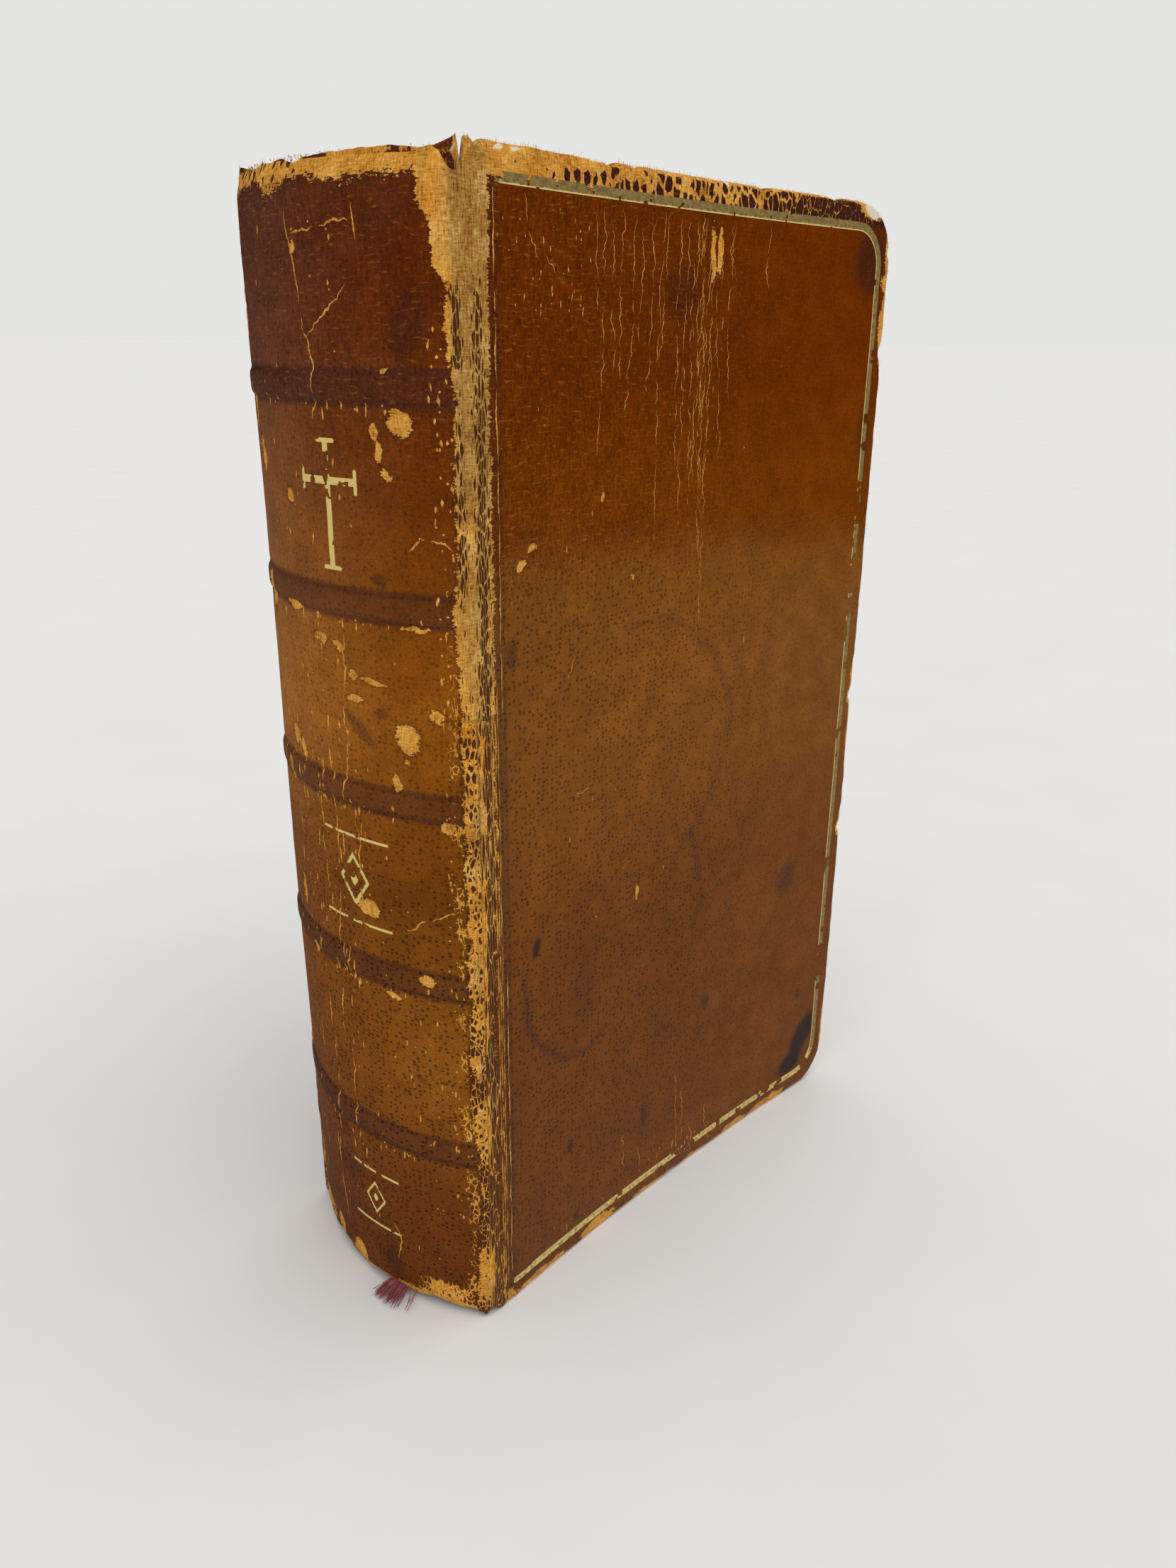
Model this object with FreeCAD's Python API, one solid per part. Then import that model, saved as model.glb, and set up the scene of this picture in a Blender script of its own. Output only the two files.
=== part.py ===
import FreeCAD, Part
import math
import os

# A hand prayer book bound in full leather, standing upright on the tail edges of its covers.
# +Z is up the height, -X is the spine, +X the fore-edge, -Y the front cover, +Y the back cover.
# The origin is the middle of the footprint on the surface below. Every size is in millimetres.
#
# "Depth" is measured from a cover's outer face towards the leaves. The front cover is pressed
# hollow, so its layers are concentric arcs in plan; the back cover's layers are flat.

V = FreeCAD.Vector

# Overall size
HEIGHT = 168.0
THICKNESS = 45.0
HALF_LENGTH = 51.6
COVER_CORNER_RADIUS = 9.0
LEAST_CORNER_RADIUS = 1.0
FRONT_HOLLOW = 1.8

# Covers: leather, board, the leather's turned-in margin and the paper pasted in its window
LEATHER = 0.9
BOARD = 1.0
TURN_IN = 0.4
TURN_IN_WIDTH = 12.0
PASTEDOWN = 0.3
BOARD_SPINE_X = -41.6
COVER_SPINE_X = -40.5

# Gilt line framing each cover, laid in a shallow groove
GILT_WIDTH = 1.3
GILT_GROOVE = 0.1
GILT_FOIL = 0.06
GILT_HEAD_MARGIN = 3.2
GILT_FORE_MARGIN = 3.0
GILT_SPINE_X = -38.5

# Rounded spine: one arc from joint to joint, with its layers concentric inwards
JOINT_X = -44.1
SPINE_SAGITTA = 6.8
HOLLOW_TUBE = 0.5
MULL = 0.25
SEWING = 0.35
SEWING_CLEARANCE = 0.1
SPINE_TAIL_Z = 1.8
SPINE_HEAD_Z = 167.2
LINING_ANGLE = 29.5

# Raised bands: card strips under the leather, and the blind line tooled on each side of one
BAND_HEIGHTS = (31.1, 59.7, 87.0, 114.0, 141.0)
BAND_RISE = 0.7
BAND_CARD_WIDTH = 1.6
BAND_WIDTH = 3.2
TOOLED_LINE_OFFSET = 2.9
TOOLED_LINE_WIDTH = 0.5
TOOLED_LINE_DEPTH = 0.15

# Leaves
GATHERINGS = 24
FRONT_GATHERINGS = 9
LEAF_WIDTH = 92.0
LEAF_CORNER_RADIUS = 7.0
SQUARE = 3.4
FOLD_ROUNDING = 0.35
TRIM_CLEARANCE = 0.05
STRAIGHT_BOW = 0.001
OPENING_GAP = 0.4
FLYLEAF = 0.2
FLYLEAF_CLEARANCE = 0.12
LEAF_CLEARANCE = 0.13

# Sewing and endbands
TAPE_WIDTH = 12.0
KETTLE_INSET = 9.0
KETTLE_WIDTH = 0.8
MULL_INSET = 14.0
ENDBAND_HEIGHT = 1.8
ENDBAND_DEPTH = 1.6
ENDBAND_SETBACK = 0.2
ENDBAND_ANGLE = 27.5

# Ribbon marker, lying in the opening between the front and the back gatherings
RIBBON_WIDTH = 10.0
RIBBON_THICKNESS = 0.2
RIBBON_SPINE_X = -46.0
RIBBON_HEAD_RISE = 1.4
RIBBON_TAIL_Z = 0.5
RIBBON_FRAY_HEIGHT = 1.0

# Worked out from the sizes above
HALF_THICKNESS = THICKNESS / 2
SPINE_RADIUS = (HALF_THICKNESS**2 + SPINE_SAGITTA**2) / (2 * SPINE_SAGITTA)
SPINE_CENTRE_X = JOINT_X - SPINE_SAGITTA + SPINE_RADIUS
SPINE_ANGLE = math.degrees(math.asin(HALF_THICKNESS / SPINE_RADIUS))
LEATHER_INNER_RADIUS = SPINE_RADIUS - LEATHER
TUBE_INNER_RADIUS = LEATHER_INNER_RADIUS - HOLLOW_TUBE
MULL_INNER_RADIUS = TUBE_INNER_RADIUS - MULL
FOLDS_RADIUS = MULL_INNER_RADIUS - SEWING
SEWING_INNER_RADIUS = FOLDS_RADIUS + SEWING_CLEARANCE
COVER_DEPTH = LEATHER + BOARD + TURN_IN
FLYLEAF_DEPTH = COVER_DEPTH + FLYLEAF_CLEARANCE
LEAVES_DEPTH = FLYLEAF_DEPTH + FLYLEAF + LEAF_CLEARANCE
LEAVES_TAIL_Z = SQUARE
LEAVES_HEAD_Z = HEIGHT - SQUARE
COVER_MIDDLE_X = (COVER_SPINE_X + HALF_LENGTH) / 2
COVER_HALF_CHORD = (HALF_LENGTH - COVER_SPINE_X) / 2
FRONT_ARC_RADIUS = (COVER_HALF_CHORD**2 + FRONT_HOLLOW**2) / (2 * FRONT_HOLLOW)
FRONT_ARC_Y = -HALF_THICKNESS + FRONT_HOLLOW - FRONT_ARC_RADIUS
SPINE_X = -HALF_LENGTH
OVERCUT = 5.0


def line(start, end):
    return Part.LineSegment(start, end).toShape()


def arc(start, middle, end):
    return Part.Arc(start, middle, end).toShape()


def plan_prism(edges, low_z, high_z):
    """Extrude a closed outline drawn in the XY plane between two heights."""
    face = Part.Face(Part.Wire(edges))
    face.translate(V(0, 0, low_z))
    return face.extrude(V(0, 0, high_z - low_z))


def elevation_prism(low_x, high_x, low_z, high_z, radius):
    """A rectangle seen from the side, its fore-edge corners rounded, run right through the book."""
    bend = radius * (1 - math.sqrt(0.5))
    low = V(low_x, -THICKNESS, low_z)
    high = V(low_x, -THICKNESS, high_z)
    tail_start = V(high_x - radius, -THICKNESS, low_z)
    tail_mid = V(high_x - bend, -THICKNESS, low_z + bend)
    tail_end = V(high_x, -THICKNESS, low_z + radius)
    head_start = V(high_x, -THICKNESS, high_z - radius)
    head_mid = V(high_x - bend, -THICKNESS, high_z - bend)
    head_end = V(high_x - radius, -THICKNESS, high_z)
    edges = [
        line(low, tail_start),
        arc(tail_start, tail_mid, tail_end),
        line(tail_end, head_start),
        arc(head_start, head_mid, head_end),
        line(head_end, high),
        line(high, low),
    ]
    face = Part.Face(Part.Wire(edges))
    return face.extrude(V(0, 2 * THICKNESS, 0))


def cover_outline(inset, spine_x):
    """The cover's shape seen from the side, drawn in by the same inset on its three free edges."""
    radius = max(COVER_CORNER_RADIUS - inset, LEAST_CORNER_RADIUS)
    return elevation_prism(spine_x, HALF_LENGTH - inset, inset, HEIGHT - inset, radius)


def layer_y(side, x, depth):
    """Where a cover's layer at this depth lies across the book."""
    if side == "back":
        return HALF_THICKNESS - depth
    radius = FRONT_ARC_RADIUS + depth
    return FRONT_ARC_Y + math.sqrt(radius**2 - (x - COVER_MIDDLE_X) ** 2)


def layer_edge(side, start_x, end_x, depth):
    """The layer's line in plan, an arc on the front cover and straight on the back cover."""
    start = V(start_x, layer_y(side, start_x, depth), 0)
    end = V(end_x, layer_y(side, end_x, depth), 0)
    if side == "back":
        return line(start, end)
    middle_x = (start_x + end_x) / 2
    return arc(start, V(middle_x, layer_y(side, middle_x, depth), 0), end)


def slab(side, low_depth, high_depth, outline):
    """The part of a cover's thickness between two depths that lies inside an outline."""
    low_x = JOINT_X - OVERCUT
    high_x = HALF_LENGTH + OVERCUT
    outer = layer_edge(side, low_x, high_x, low_depth)
    inner = layer_edge(side, low_x, high_x, high_depth)
    ends = [
        line(outer.Vertexes[0].Point, inner.Vertexes[0].Point),
        line(outer.Vertexes[-1].Point, inner.Vertexes[-1].Point),
    ]
    edges = Part.__sortEdges__([outer, inner] + ends)
    block = plan_prism(edges, -OVERCUT, HEIGHT + OVERCUT)
    return block.common(outline).Solids[0]


def gilt_ring():
    """The frame that the gilt line follows, seen from the side and run through the book."""
    low_z = GILT_HEAD_MARGIN
    high_z = HEIGHT - GILT_HEAD_MARGIN
    high_x = HALF_LENGTH - GILT_FORE_MARGIN
    run = 2 * THICKNESS
    outer = Part.makeBox(high_x - GILT_SPINE_X, run, high_z - low_z, V(GILT_SPINE_X, -THICKNESS, low_z))
    inner = Part.makeBox(
        high_x - GILT_SPINE_X - 2 * GILT_WIDTH,
        run,
        high_z - low_z - 2 * GILT_WIDTH,
        V(GILT_SPINE_X + GILT_WIDTH, -THICKNESS, low_z + GILT_WIDTH),
    )
    return outer.cut(inner)


def board(side):
    outline = cover_outline(LEATHER, BOARD_SPINE_X)
    return slab(side, LEATHER, LEATHER + BOARD, outline)


def cover_leather(side):
    """The leather over one cover, wrapped round its board and turned in on three edges."""
    whole = slab(side, 0, COVER_DEPTH, cover_outline(0, COVER_SPINE_X))
    pocket = slab(side, LEATHER, LEATHER + BOARD, cover_outline(LEATHER, JOINT_X))
    window = slab(side, LEATHER + BOARD, COVER_DEPTH + OVERCUT, cover_outline(TURN_IN_WIDTH, JOINT_X))
    groove = slab(side, -OVERCUT, GILT_GROOVE, gilt_ring())
    return whole.cut(pocket).cut(window).cut(groove)


def pastedown(side):
    depth = LEATHER + BOARD
    return slab(side, depth, depth + PASTEDOWN, cover_outline(TURN_IN_WIDTH, COVER_SPINE_X))


def gilt_frame(side):
    return slab(side, GILT_GROOVE - GILT_FOIL, GILT_GROOVE, gilt_ring())


def joint_leather(side):
    """The strip of leather that bends at the hinge, between the spine's edge and the cover's."""
    sign = 1 if side == "back" else -1
    angle = math.radians(SPINE_ANGLE)
    inner_x = SPINE_CENTRE_X - LEATHER_INNER_RADIUS * math.cos(angle)
    inner_y = LEATHER_INNER_RADIUS * math.sin(angle)
    corners = [
        V(JOINT_X, sign * HALF_THICKNESS, 0),
        V(COVER_SPINE_X, layer_y(side, COVER_SPINE_X, 0), 0),
        V(COVER_SPINE_X, layer_y(side, COVER_SPINE_X, LEATHER), 0),
        V(inner_x, sign * inner_y, 0),
    ]
    edges = [line(corners[i - 1], corners[i]) for i in range(len(corners))]
    strip = plan_prism(Part.__sortEdges__(edges), 0, HEIGHT)
    return strip.cut(board(side))


def spine_layer(inner_radius, outer_radius, half_angle, low_z, high_z):
    """A curved strip concentric with the spine, reaching the same angle on both sides."""
    angle = math.radians(half_angle)
    edges = []
    tips = []
    for radius in (inner_radius, outer_radius):
        x = SPINE_CENTRE_X - radius * math.cos(angle)
        y = radius * math.sin(angle)
        tips.append((V(x, -y, 0), V(x, y, 0)))
        edges.append(arc(V(x, -y, 0), V(SPINE_CENTRE_X - radius, 0, 0), V(x, y, 0)))
    edges.append(line(tips[0][0], tips[1][0]))
    edges.append(line(tips[0][1], tips[1][1]))
    return plan_prism(Part.__sortEdges__(edges), low_z, high_z)


def band_ridge(middle_z):
    """The swelling of the leather over one raised band, with sloping flanks and a level crest."""
    crest_half = BAND_CARD_WIDTH / 2
    base_x = SPINE_CENTRE_X - SPINE_RADIUS + BAND_RISE
    crest_x = SPINE_CENTRE_X - SPINE_RADIUS - BAND_RISE
    profile = [
        V(base_x, 0, middle_z - BAND_WIDTH / 2 - BAND_RISE),
        V(crest_x, 0, middle_z - crest_half),
        V(crest_x, 0, middle_z + crest_half),
        V(base_x, 0, middle_z + BAND_WIDTH / 2 + BAND_RISE),
    ]
    face = Part.Face(Part.makePolygon(profile + profile[:1]))
    axis = V(SPINE_CENTRE_X, 0, 0)
    face.rotate(axis, V(0, 0, 1), -SPINE_ANGLE)
    ridge = face.revolve(axis, V(0, 0, 1), 2 * SPINE_ANGLE)
    reach = Part.makeBox(4 * SPINE_SAGITTA, THICKNESS, HEIGHT, V(SPINE_X - OVERCUT, -HALF_THICKNESS, 0))
    return ridge.common(reach)


def raised_band(middle_z):
    low_z = middle_z - BAND_CARD_WIDTH / 2
    outer_radius = LEATHER_INNER_RADIUS + BAND_RISE
    return spine_layer(LEATHER_INNER_RADIUS, outer_radius, SPINE_ANGLE, low_z, low_z + BAND_CARD_WIDTH)


def tooled_line(middle_z):
    """The groove that a blind-tooled line cuts in the leather, running off both edges."""
    low_z = middle_z - TOOLED_LINE_WIDTH / 2
    inner_radius = SPINE_RADIUS - TOOLED_LINE_DEPTH
    outer_radius = SPINE_RADIUS + OVERCUT
    return spine_layer(inner_radius, outer_radius, SPINE_ANGLE + OVERCUT, low_z, low_z + TOOLED_LINE_WIDTH)


def spine_leather():
    """The leather across the spine, raised over each band and tooled on both sides of it."""
    leather = spine_layer(LEATHER_INNER_RADIUS, SPINE_RADIUS, SPINE_ANGLE, SPINE_TAIL_Z, SPINE_HEAD_Z)
    for height in BAND_HEIGHTS:
        leather = leather.fuse(band_ridge(height)).cut(raised_band(height))
        for offset in (-TOOLED_LINE_OFFSET, TOOLED_LINE_OFFSET):
            leather = leather.cut(tooled_line(height + offset))
    return leather.Solids[0]


def sewing_tapes():
    """The linen tapes that the gatherings are sewn on, one behind each raised band."""
    tapes = []
    for height in BAND_HEIGHTS:
        low_z = height - TAPE_WIDTH / 2
        high_z = height + TAPE_WIDTH / 2
        tapes.append(spine_layer(SEWING_INNER_RADIUS, MULL_INNER_RADIUS, LINING_ANGLE, low_z, high_z))
    return Part.makeCompound(tapes)


def sewing_thread():
    """The rows of kettle stitches that link the gatherings near the head and the tail."""
    rows = []
    for low_z in (LEAVES_TAIL_Z + KETTLE_INSET, LEAVES_HEAD_Z - KETTLE_INSET):
        high_z = low_z + KETTLE_WIDTH
        rows.append(spine_layer(SEWING_INNER_RADIUS, MULL_INNER_RADIUS, LINING_ANGLE, low_z, high_z))
    return Part.makeCompound(rows)


def spine_mull():
    low_z = LEAVES_TAIL_Z + MULL_INSET
    high_z = LEAVES_HEAD_Z - MULL_INSET
    return spine_layer(MULL_INNER_RADIUS, TUBE_INNER_RADIUS, LINING_ANGLE, low_z, high_z)


def spine_hollow():
    return spine_layer(TUBE_INNER_RADIUS, LEATHER_INNER_RADIUS, LINING_ANGLE, LEAVES_TAIL_Z, LEAVES_HEAD_Z)


def endband(low_z):
    outer_radius = FOLDS_RADIUS - ENDBAND_SETBACK
    inner_radius = outer_radius - ENDBAND_DEPTH
    return spine_layer(inner_radius, outer_radius, ENDBAND_ANGLE, low_z, low_z + ENDBAND_HEIGHT)


def folds_x(y):
    """Where the backs of the gatherings lie along the rounded spine."""
    return SPINE_CENTRE_X - math.sqrt(FOLDS_RADIUS**2 - y**2)


def leaves_front_points():
    """Spine, middle and fore-edge points of the front face of the whole set of leaves."""
    spine_y = layer_y("front", COVER_SPINE_X, LEAVES_DEPTH)
    spine_x = folds_x(spine_y) + FOLD_ROUNDING
    fore_x = folds_x(spine_y) + LEAF_WIDTH
    middle_x = (spine_x + fore_x) / 2
    return [(x, layer_y("front", x, LEAVES_DEPTH)) for x in (spine_x, middle_x, fore_x)]


def opening_y():
    """Where the book opens: between the front gatherings and the back ones."""
    front_y = leaves_front_points()[0][1]
    back_y = layer_y("back", 0, LEAVES_DEPTH)
    return front_y + (back_y - front_y) * FRONT_GATHERINGS / GATHERINGS


def boundary(front_ys, back_y, share):
    """Three plan points of the line between two gatherings, this share of the way to the back."""
    ys = [y + (back_y - y) * share for y in front_ys]
    spine_x = folds_x(ys[0]) + FOLD_ROUNDING
    fore_x = folds_x(ys[0]) + LEAF_WIDTH
    xs = (spine_x, (spine_x + fore_x) / 2, fore_x)
    return [V(x, y, 0) for x, y in zip(xs, ys)]


def plan_curve(points):
    """An arc through three plan points, or a straight line where they don't bend."""
    start, middle, end = points
    bow = abs(middle.y - (start.y + end.y) / 2)
    if bow < STRAIGHT_BOW:
        return line(start, end)
    return arc(start, middle, end)


def gathering(front_line, back_line):
    """One folded gathering between two plan lines, its fold rounded and its outer corners too."""
    fold_y = (front_line[0].y + back_line[0].y) / 2
    edges = [
        plan_curve(front_line),
        line(front_line[2], back_line[2]),
        plan_curve(back_line),
        arc(front_line[0], V(folds_x(fold_y), fold_y, 0), back_line[0]),
    ]
    block = plan_prism(Part.__sortEdges__(edges), LEAVES_TAIL_Z, LEAVES_HEAD_Z)
    fore_x = max(front_line[2].x, back_line[2].x) + TRIM_CLEARANCE
    outline = elevation_prism(SPINE_X, fore_x, LEAVES_TAIL_Z, LEAVES_HEAD_Z, LEAF_CORNER_RADIUS)
    return block.common(outline).Solids[0]


def gatherings():
    """All gatherings by name, numbered from the front, with a gap where the book opens."""
    front_ys = [point[1] for point in leaves_front_points()]
    stop_y = opening_y() - OPENING_GAP / 2
    start_ys = [opening_y() + OPENING_GAP / 2] * 3
    back_y = layer_y("back", 0, LEAVES_DEPTH)
    groups = [(front_ys, stop_y, FRONT_GATHERINGS), (start_ys, back_y, GATHERINGS - FRONT_GATHERINGS)]
    made = {}
    for ys, last_y, count in groups:
        for index in range(count):
            front_line = boundary(ys, last_y, index / count)
            back_line = boundary(ys, last_y, (index + 1) / count)
            made[f"gathering_{len(made) + 1:02d}"] = gathering(front_line, back_line)
    return made


def flyleaf(side):
    fore_x = leaves_front_points()[2][0]
    outline = elevation_prism(BOARD_SPINE_X, fore_x, LEAVES_TAIL_Z, LEAVES_HEAD_Z, LEAF_CORNER_RADIUS)
    return slab(side, FLYLEAF_DEPTH, FLYLEAF_DEPTH + FLYLEAF, outline)


def ribbon_marker():
    """The ribbon as it lies between the leaves, its frayed tail drawn out under the spine."""
    fore_x = RIBBON_SPINE_X + RIBBON_WIDTH
    head_z = LEAVES_HEAD_Z + RIBBON_HEAD_RISE
    fray_z = RIBBON_TAIL_Z + RIBBON_FRAY_HEIGHT
    y = opening_y() - RIBBON_THICKNESS / 2
    corners = [
        V(fore_x, y, head_z),
        V(RIBBON_SPINE_X, y, head_z),
        V(RIBBON_SPINE_X, y, fray_z),
        V(-HALF_LENGTH, y, fray_z),
        V(-HALF_LENGTH, y, RIBBON_TAIL_Z),
        V(fore_x, y, RIBBON_TAIL_Z),
    ]
    face = Part.Face(Part.makePolygon(corners + corners[:1]))
    return face.extrude(V(0, RIBBON_THICKNESS, 0))


def book():
    """Every piece of the book by the name of its node."""
    pieces = gatherings()
    for side in ("front", "back"):
        pieces[f"{side}_board"] = board(side)
        pieces[f"{side}_cover_leather"] = cover_leather(side)
        pieces[f"{side}_joint_leather"] = joint_leather(side)
        pieces[f"{side}_pastedown"] = pastedown(side)
        pieces[f"{side}_flyleaf"] = flyleaf(side)
        pieces[f"{side}_gilt_frame"] = gilt_frame(side)
    for number, height in enumerate(BAND_HEIGHTS, start=1):
        pieces[f"raised_band_{number}"] = raised_band(height)
    pieces["spine_leather"] = spine_leather()
    pieces["spine_hollow"] = spine_hollow()
    pieces["spine_mull"] = spine_mull()
    pieces["sewing_tapes"] = sewing_tapes()
    pieces["sewing_thread"] = sewing_thread()
    pieces["head_band"] = endband(LEAVES_HEAD_Z)
    pieces["tail_band"] = endband(LEAVES_TAIL_Z - ENDBAND_HEIGHT)
    pieces["ribbon_marker"] = ribbon_marker()
    return pieces


os.makedirs("parts", exist_ok=True)
for node, shape in book().items():
    shape.exportStep(f"parts/{node}.step")
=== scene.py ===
"""The looks of a worn leather prayer book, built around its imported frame.

Lengths are millimetres until a mesh is made. The leather is thought of as one flat sheet wrapped
round the book: u runs across it from the front joint, and v is the height. Positive u is the front
cover, u below zero is the spine, and beyond the spine comes the back cover.
"""

import math

import bpy
import numpy as np
from mathutils import Matrix, Vector


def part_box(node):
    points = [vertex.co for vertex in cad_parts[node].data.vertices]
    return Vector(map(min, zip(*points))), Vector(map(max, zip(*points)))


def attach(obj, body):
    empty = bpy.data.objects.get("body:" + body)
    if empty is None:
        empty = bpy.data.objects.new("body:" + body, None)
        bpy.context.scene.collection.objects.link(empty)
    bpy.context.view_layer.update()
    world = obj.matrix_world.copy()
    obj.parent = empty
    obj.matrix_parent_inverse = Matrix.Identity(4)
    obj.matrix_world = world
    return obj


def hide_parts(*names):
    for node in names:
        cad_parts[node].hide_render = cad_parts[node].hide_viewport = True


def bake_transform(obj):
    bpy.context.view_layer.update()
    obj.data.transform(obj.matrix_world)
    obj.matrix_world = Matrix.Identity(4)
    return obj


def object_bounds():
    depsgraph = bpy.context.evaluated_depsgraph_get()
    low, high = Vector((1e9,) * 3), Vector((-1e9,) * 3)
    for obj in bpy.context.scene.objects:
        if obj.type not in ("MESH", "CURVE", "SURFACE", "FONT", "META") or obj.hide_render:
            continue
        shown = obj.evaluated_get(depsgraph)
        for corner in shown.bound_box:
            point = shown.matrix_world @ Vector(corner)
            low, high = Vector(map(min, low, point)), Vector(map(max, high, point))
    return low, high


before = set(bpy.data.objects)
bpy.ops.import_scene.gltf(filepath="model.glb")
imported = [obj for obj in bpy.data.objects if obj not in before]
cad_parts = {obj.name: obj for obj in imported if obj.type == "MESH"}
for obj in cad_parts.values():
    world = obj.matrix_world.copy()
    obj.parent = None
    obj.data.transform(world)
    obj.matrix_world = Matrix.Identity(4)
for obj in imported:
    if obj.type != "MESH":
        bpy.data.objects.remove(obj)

cad_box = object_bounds()

MM = 0.001

# The book, from the frame.
HEIGHT = cad_box[1].z / MM
HALF_DEPTH = cad_box[1].y / MM
FORE_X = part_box("front_cover_leather")[1].x / MM
COVER_SPINE_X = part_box("front_cover_leather")[0].x / MM
JOINT_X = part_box("front_joint_leather")[0].x / MM
BAND_RISE = 0.7
SPINE_CREST_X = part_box("spine_leather")[0].x / MM + BAND_RISE
SPINE_HEAD_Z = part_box("spine_leather")[1].z / MM
VISIBLE_TAIL_Z = 0.5
COVER_DEPTH = 2.3
LEATHER = 0.9
FRONT_HOLLOW = 1.8
CORNER_RADIUS = 9.0
ROUNDING = 0.35  # of the thickness, where the leather turns over an edge
STRAND_LIFT = 0.25
STRAND_RADIUS = 0.04
GILT_WIDTH = 1.3
GILT_SPINE_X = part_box("front_gilt_frame")[0].x / MM
GILT_FORE_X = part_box("front_gilt_frame")[1].x / MM
GILT_TAIL_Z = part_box("front_gilt_frame")[0].z / MM
GILT_HEAD_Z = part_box("front_gilt_frame")[1].z / MM
HEAD_LINE_Z = GILT_HEAD_Z - GILT_WIDTH / 2

# The spine's curve.
SPINE_SAGITTA = JOINT_X - SPINE_CREST_X
SPINE_RADIUS = (HALF_DEPTH**2 + SPINE_SAGITTA**2) / (2 * SPINE_SAGITTA)
SPINE_CENTRE_X = SPINE_CREST_X + SPINE_RADIUS
SPINE_ANGLE = math.asin(HALF_DEPTH / SPINE_RADIUS)
SPINE_ACROSS = 2 * SPINE_RADIUS * SPINE_ANGLE
COVER_ACROSS = FORE_X - JOINT_X

BAND_NODES = [f"raised_band_{number}" for number in range(1, 6)]
BAND_HEIGHTS = [sum(corner.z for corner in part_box(node)) / 2 / MM for node in BAND_NODES]
BAND_WIDTH = 3.2
BAND_RISE_SEEN = 0.35
TOOLED_LINE_OFFSET = 1.9
TOOLED_LINE_WIDTH = 0.6
TOOLED_LINE_DEPTH = 0.15
JOINT_LINE_DEPTH = 0.12
BARE_DEPTH = 0.14
# How far the spine's far side swells at the head and tucks in at the tail, and how far its ends roll in.
FAR_HEAD_SWELL = 0.4
FAR_TAIL_TUCK = 0.9
HEAD_ROLL = 1.1
TAIL_ROLL = 0.8
# How strongly tooling darkens the bands, the lines beside them and the lines beside the joints.
BAND_DARKNESS = 0.45
FAR_BAND_DARKNESS = 0.15
LINE_DARKNESS = 0.7
JOINT_LINE_DARKNESS = 0.8
JOINT_LINES = (4.8, 5.8)
JOINT_SCRATCHES = [(5.3, 163, 100), (5.3, 60, 6), (3.5, 104, 4), (3.95, 104, 4), (4.4, 104, 4)]
ORNAMENT_SHIFT = 3.3


# ---------------------------------------------------------------- the leather sheet's shape

def hollow_y(x):
    """The hollow of the front cover's outside, carried on past its edges."""
    half = (FORE_X - COVER_SPINE_X) / 2
    across = (x - (FORE_X + COVER_SPINE_X) / 2) / half
    return -HALF_DEPTH + FRONT_HOLLOW * (1 - across**2)


def front_cover_y(x):
    """The slightly hollow outside of the front cover."""
    return hollow_y(np.clip(x, COVER_SPINE_X, FORE_X))


def sheet_outline():
    """Plan points and outward normals of the leather, sampled across the whole sheet."""
    step = 0.1
    margin = 6.0
    joint_softness = 0.9
    u = np.arange(-SPINE_ACROSS - COVER_ACROSS - margin, COVER_ACROSS + margin, step)
    angle = -SPINE_ANGLE - u / SPINE_RADIUS
    x = SPINE_CENTRE_X - SPINE_RADIUS * np.cos(angle)
    y = SPINE_RADIUS * np.sin(angle)
    front = u >= 0
    back = u <= -SPINE_ACROSS
    x[front] = JOINT_X + u[front]
    y[front] = front_cover_y(x[front])
    x[back] = JOINT_X - u[back] - SPINE_ACROSS
    y[back] = HALF_DEPTH
    reach = int(4 * joint_softness / step)
    offsets = np.arange(-reach, reach + 1) * step
    kernel = np.exp(-0.5 * (offsets / joint_softness) ** 2)
    kernel /= kernel.sum()
    smooth = [np.convolve(np.pad(a, reach, "reflect", reflect_type="odd"), kernel, "valid") for a in (x, y)]
    slope_x = np.gradient(smooth[0], u)
    slope_y = np.gradient(smooth[1], u)
    length = np.hypot(slope_x, slope_y)
    return u, smooth[0], smooth[1], slope_y / length, -slope_x / length


OUTLINE = sheet_outline()


def on_sheet(u, v, depth):
    """Points at places (u, v) of the sheet, this deep below its outside."""
    samples, x, y, out_x, out_y = OUTLINE
    px = np.interp(u, samples, x) - depth * np.interp(u, samples, out_x)
    py = np.interp(u, samples, y) - depth * np.interp(u, samples, out_y)
    return np.stack([px, py, v], -1)


# ---------------------------------------------------------------- fields on the sheet

def noise(u, v, size, seed):
    """Smooth random values from -1 to 1 that change over about this many millimetres."""
    table = np.random.default_rng(seed).uniform(-1, 1, (256, 256))
    a = u / size + 100
    b = v / size + 100
    i = np.floor(a).astype(int)
    j = np.floor(b).astype(int)
    s = a - i
    t = b - j
    s = s * s * (3 - 2 * s)
    t = t * t * (3 - 2 * t)
    low = table[i % 256, j % 256] * (1 - s) + table[(i + 1) % 256, j % 256] * s
    high = table[i % 256, (j + 1) % 256] * (1 - s) + table[(i + 1) % 256, (j + 1) % 256] * s
    return low * (1 - t) + high * t


def layered_noise(u, v, size, seed, layers=3):
    """Noise with finer noise added to it, each layer half as large and half as strong."""
    total = 0
    for layer in range(layers):
        total = total + noise(u, v, size / 2**layer, seed + layer) / 2**layer
    return total / 1.6


def step_between(value, low, high):
    """0 below low, 1 above high, smooth between."""
    share = np.clip((value - low) / (high - low), 0, 1)
    return share * share * (3 - 2 * share)


def bump(value, middle, half_width):
    """1 at the middle, 0 at half_width on each side."""
    return 1 - step_between(np.abs(value - middle), 0, half_width)


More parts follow.
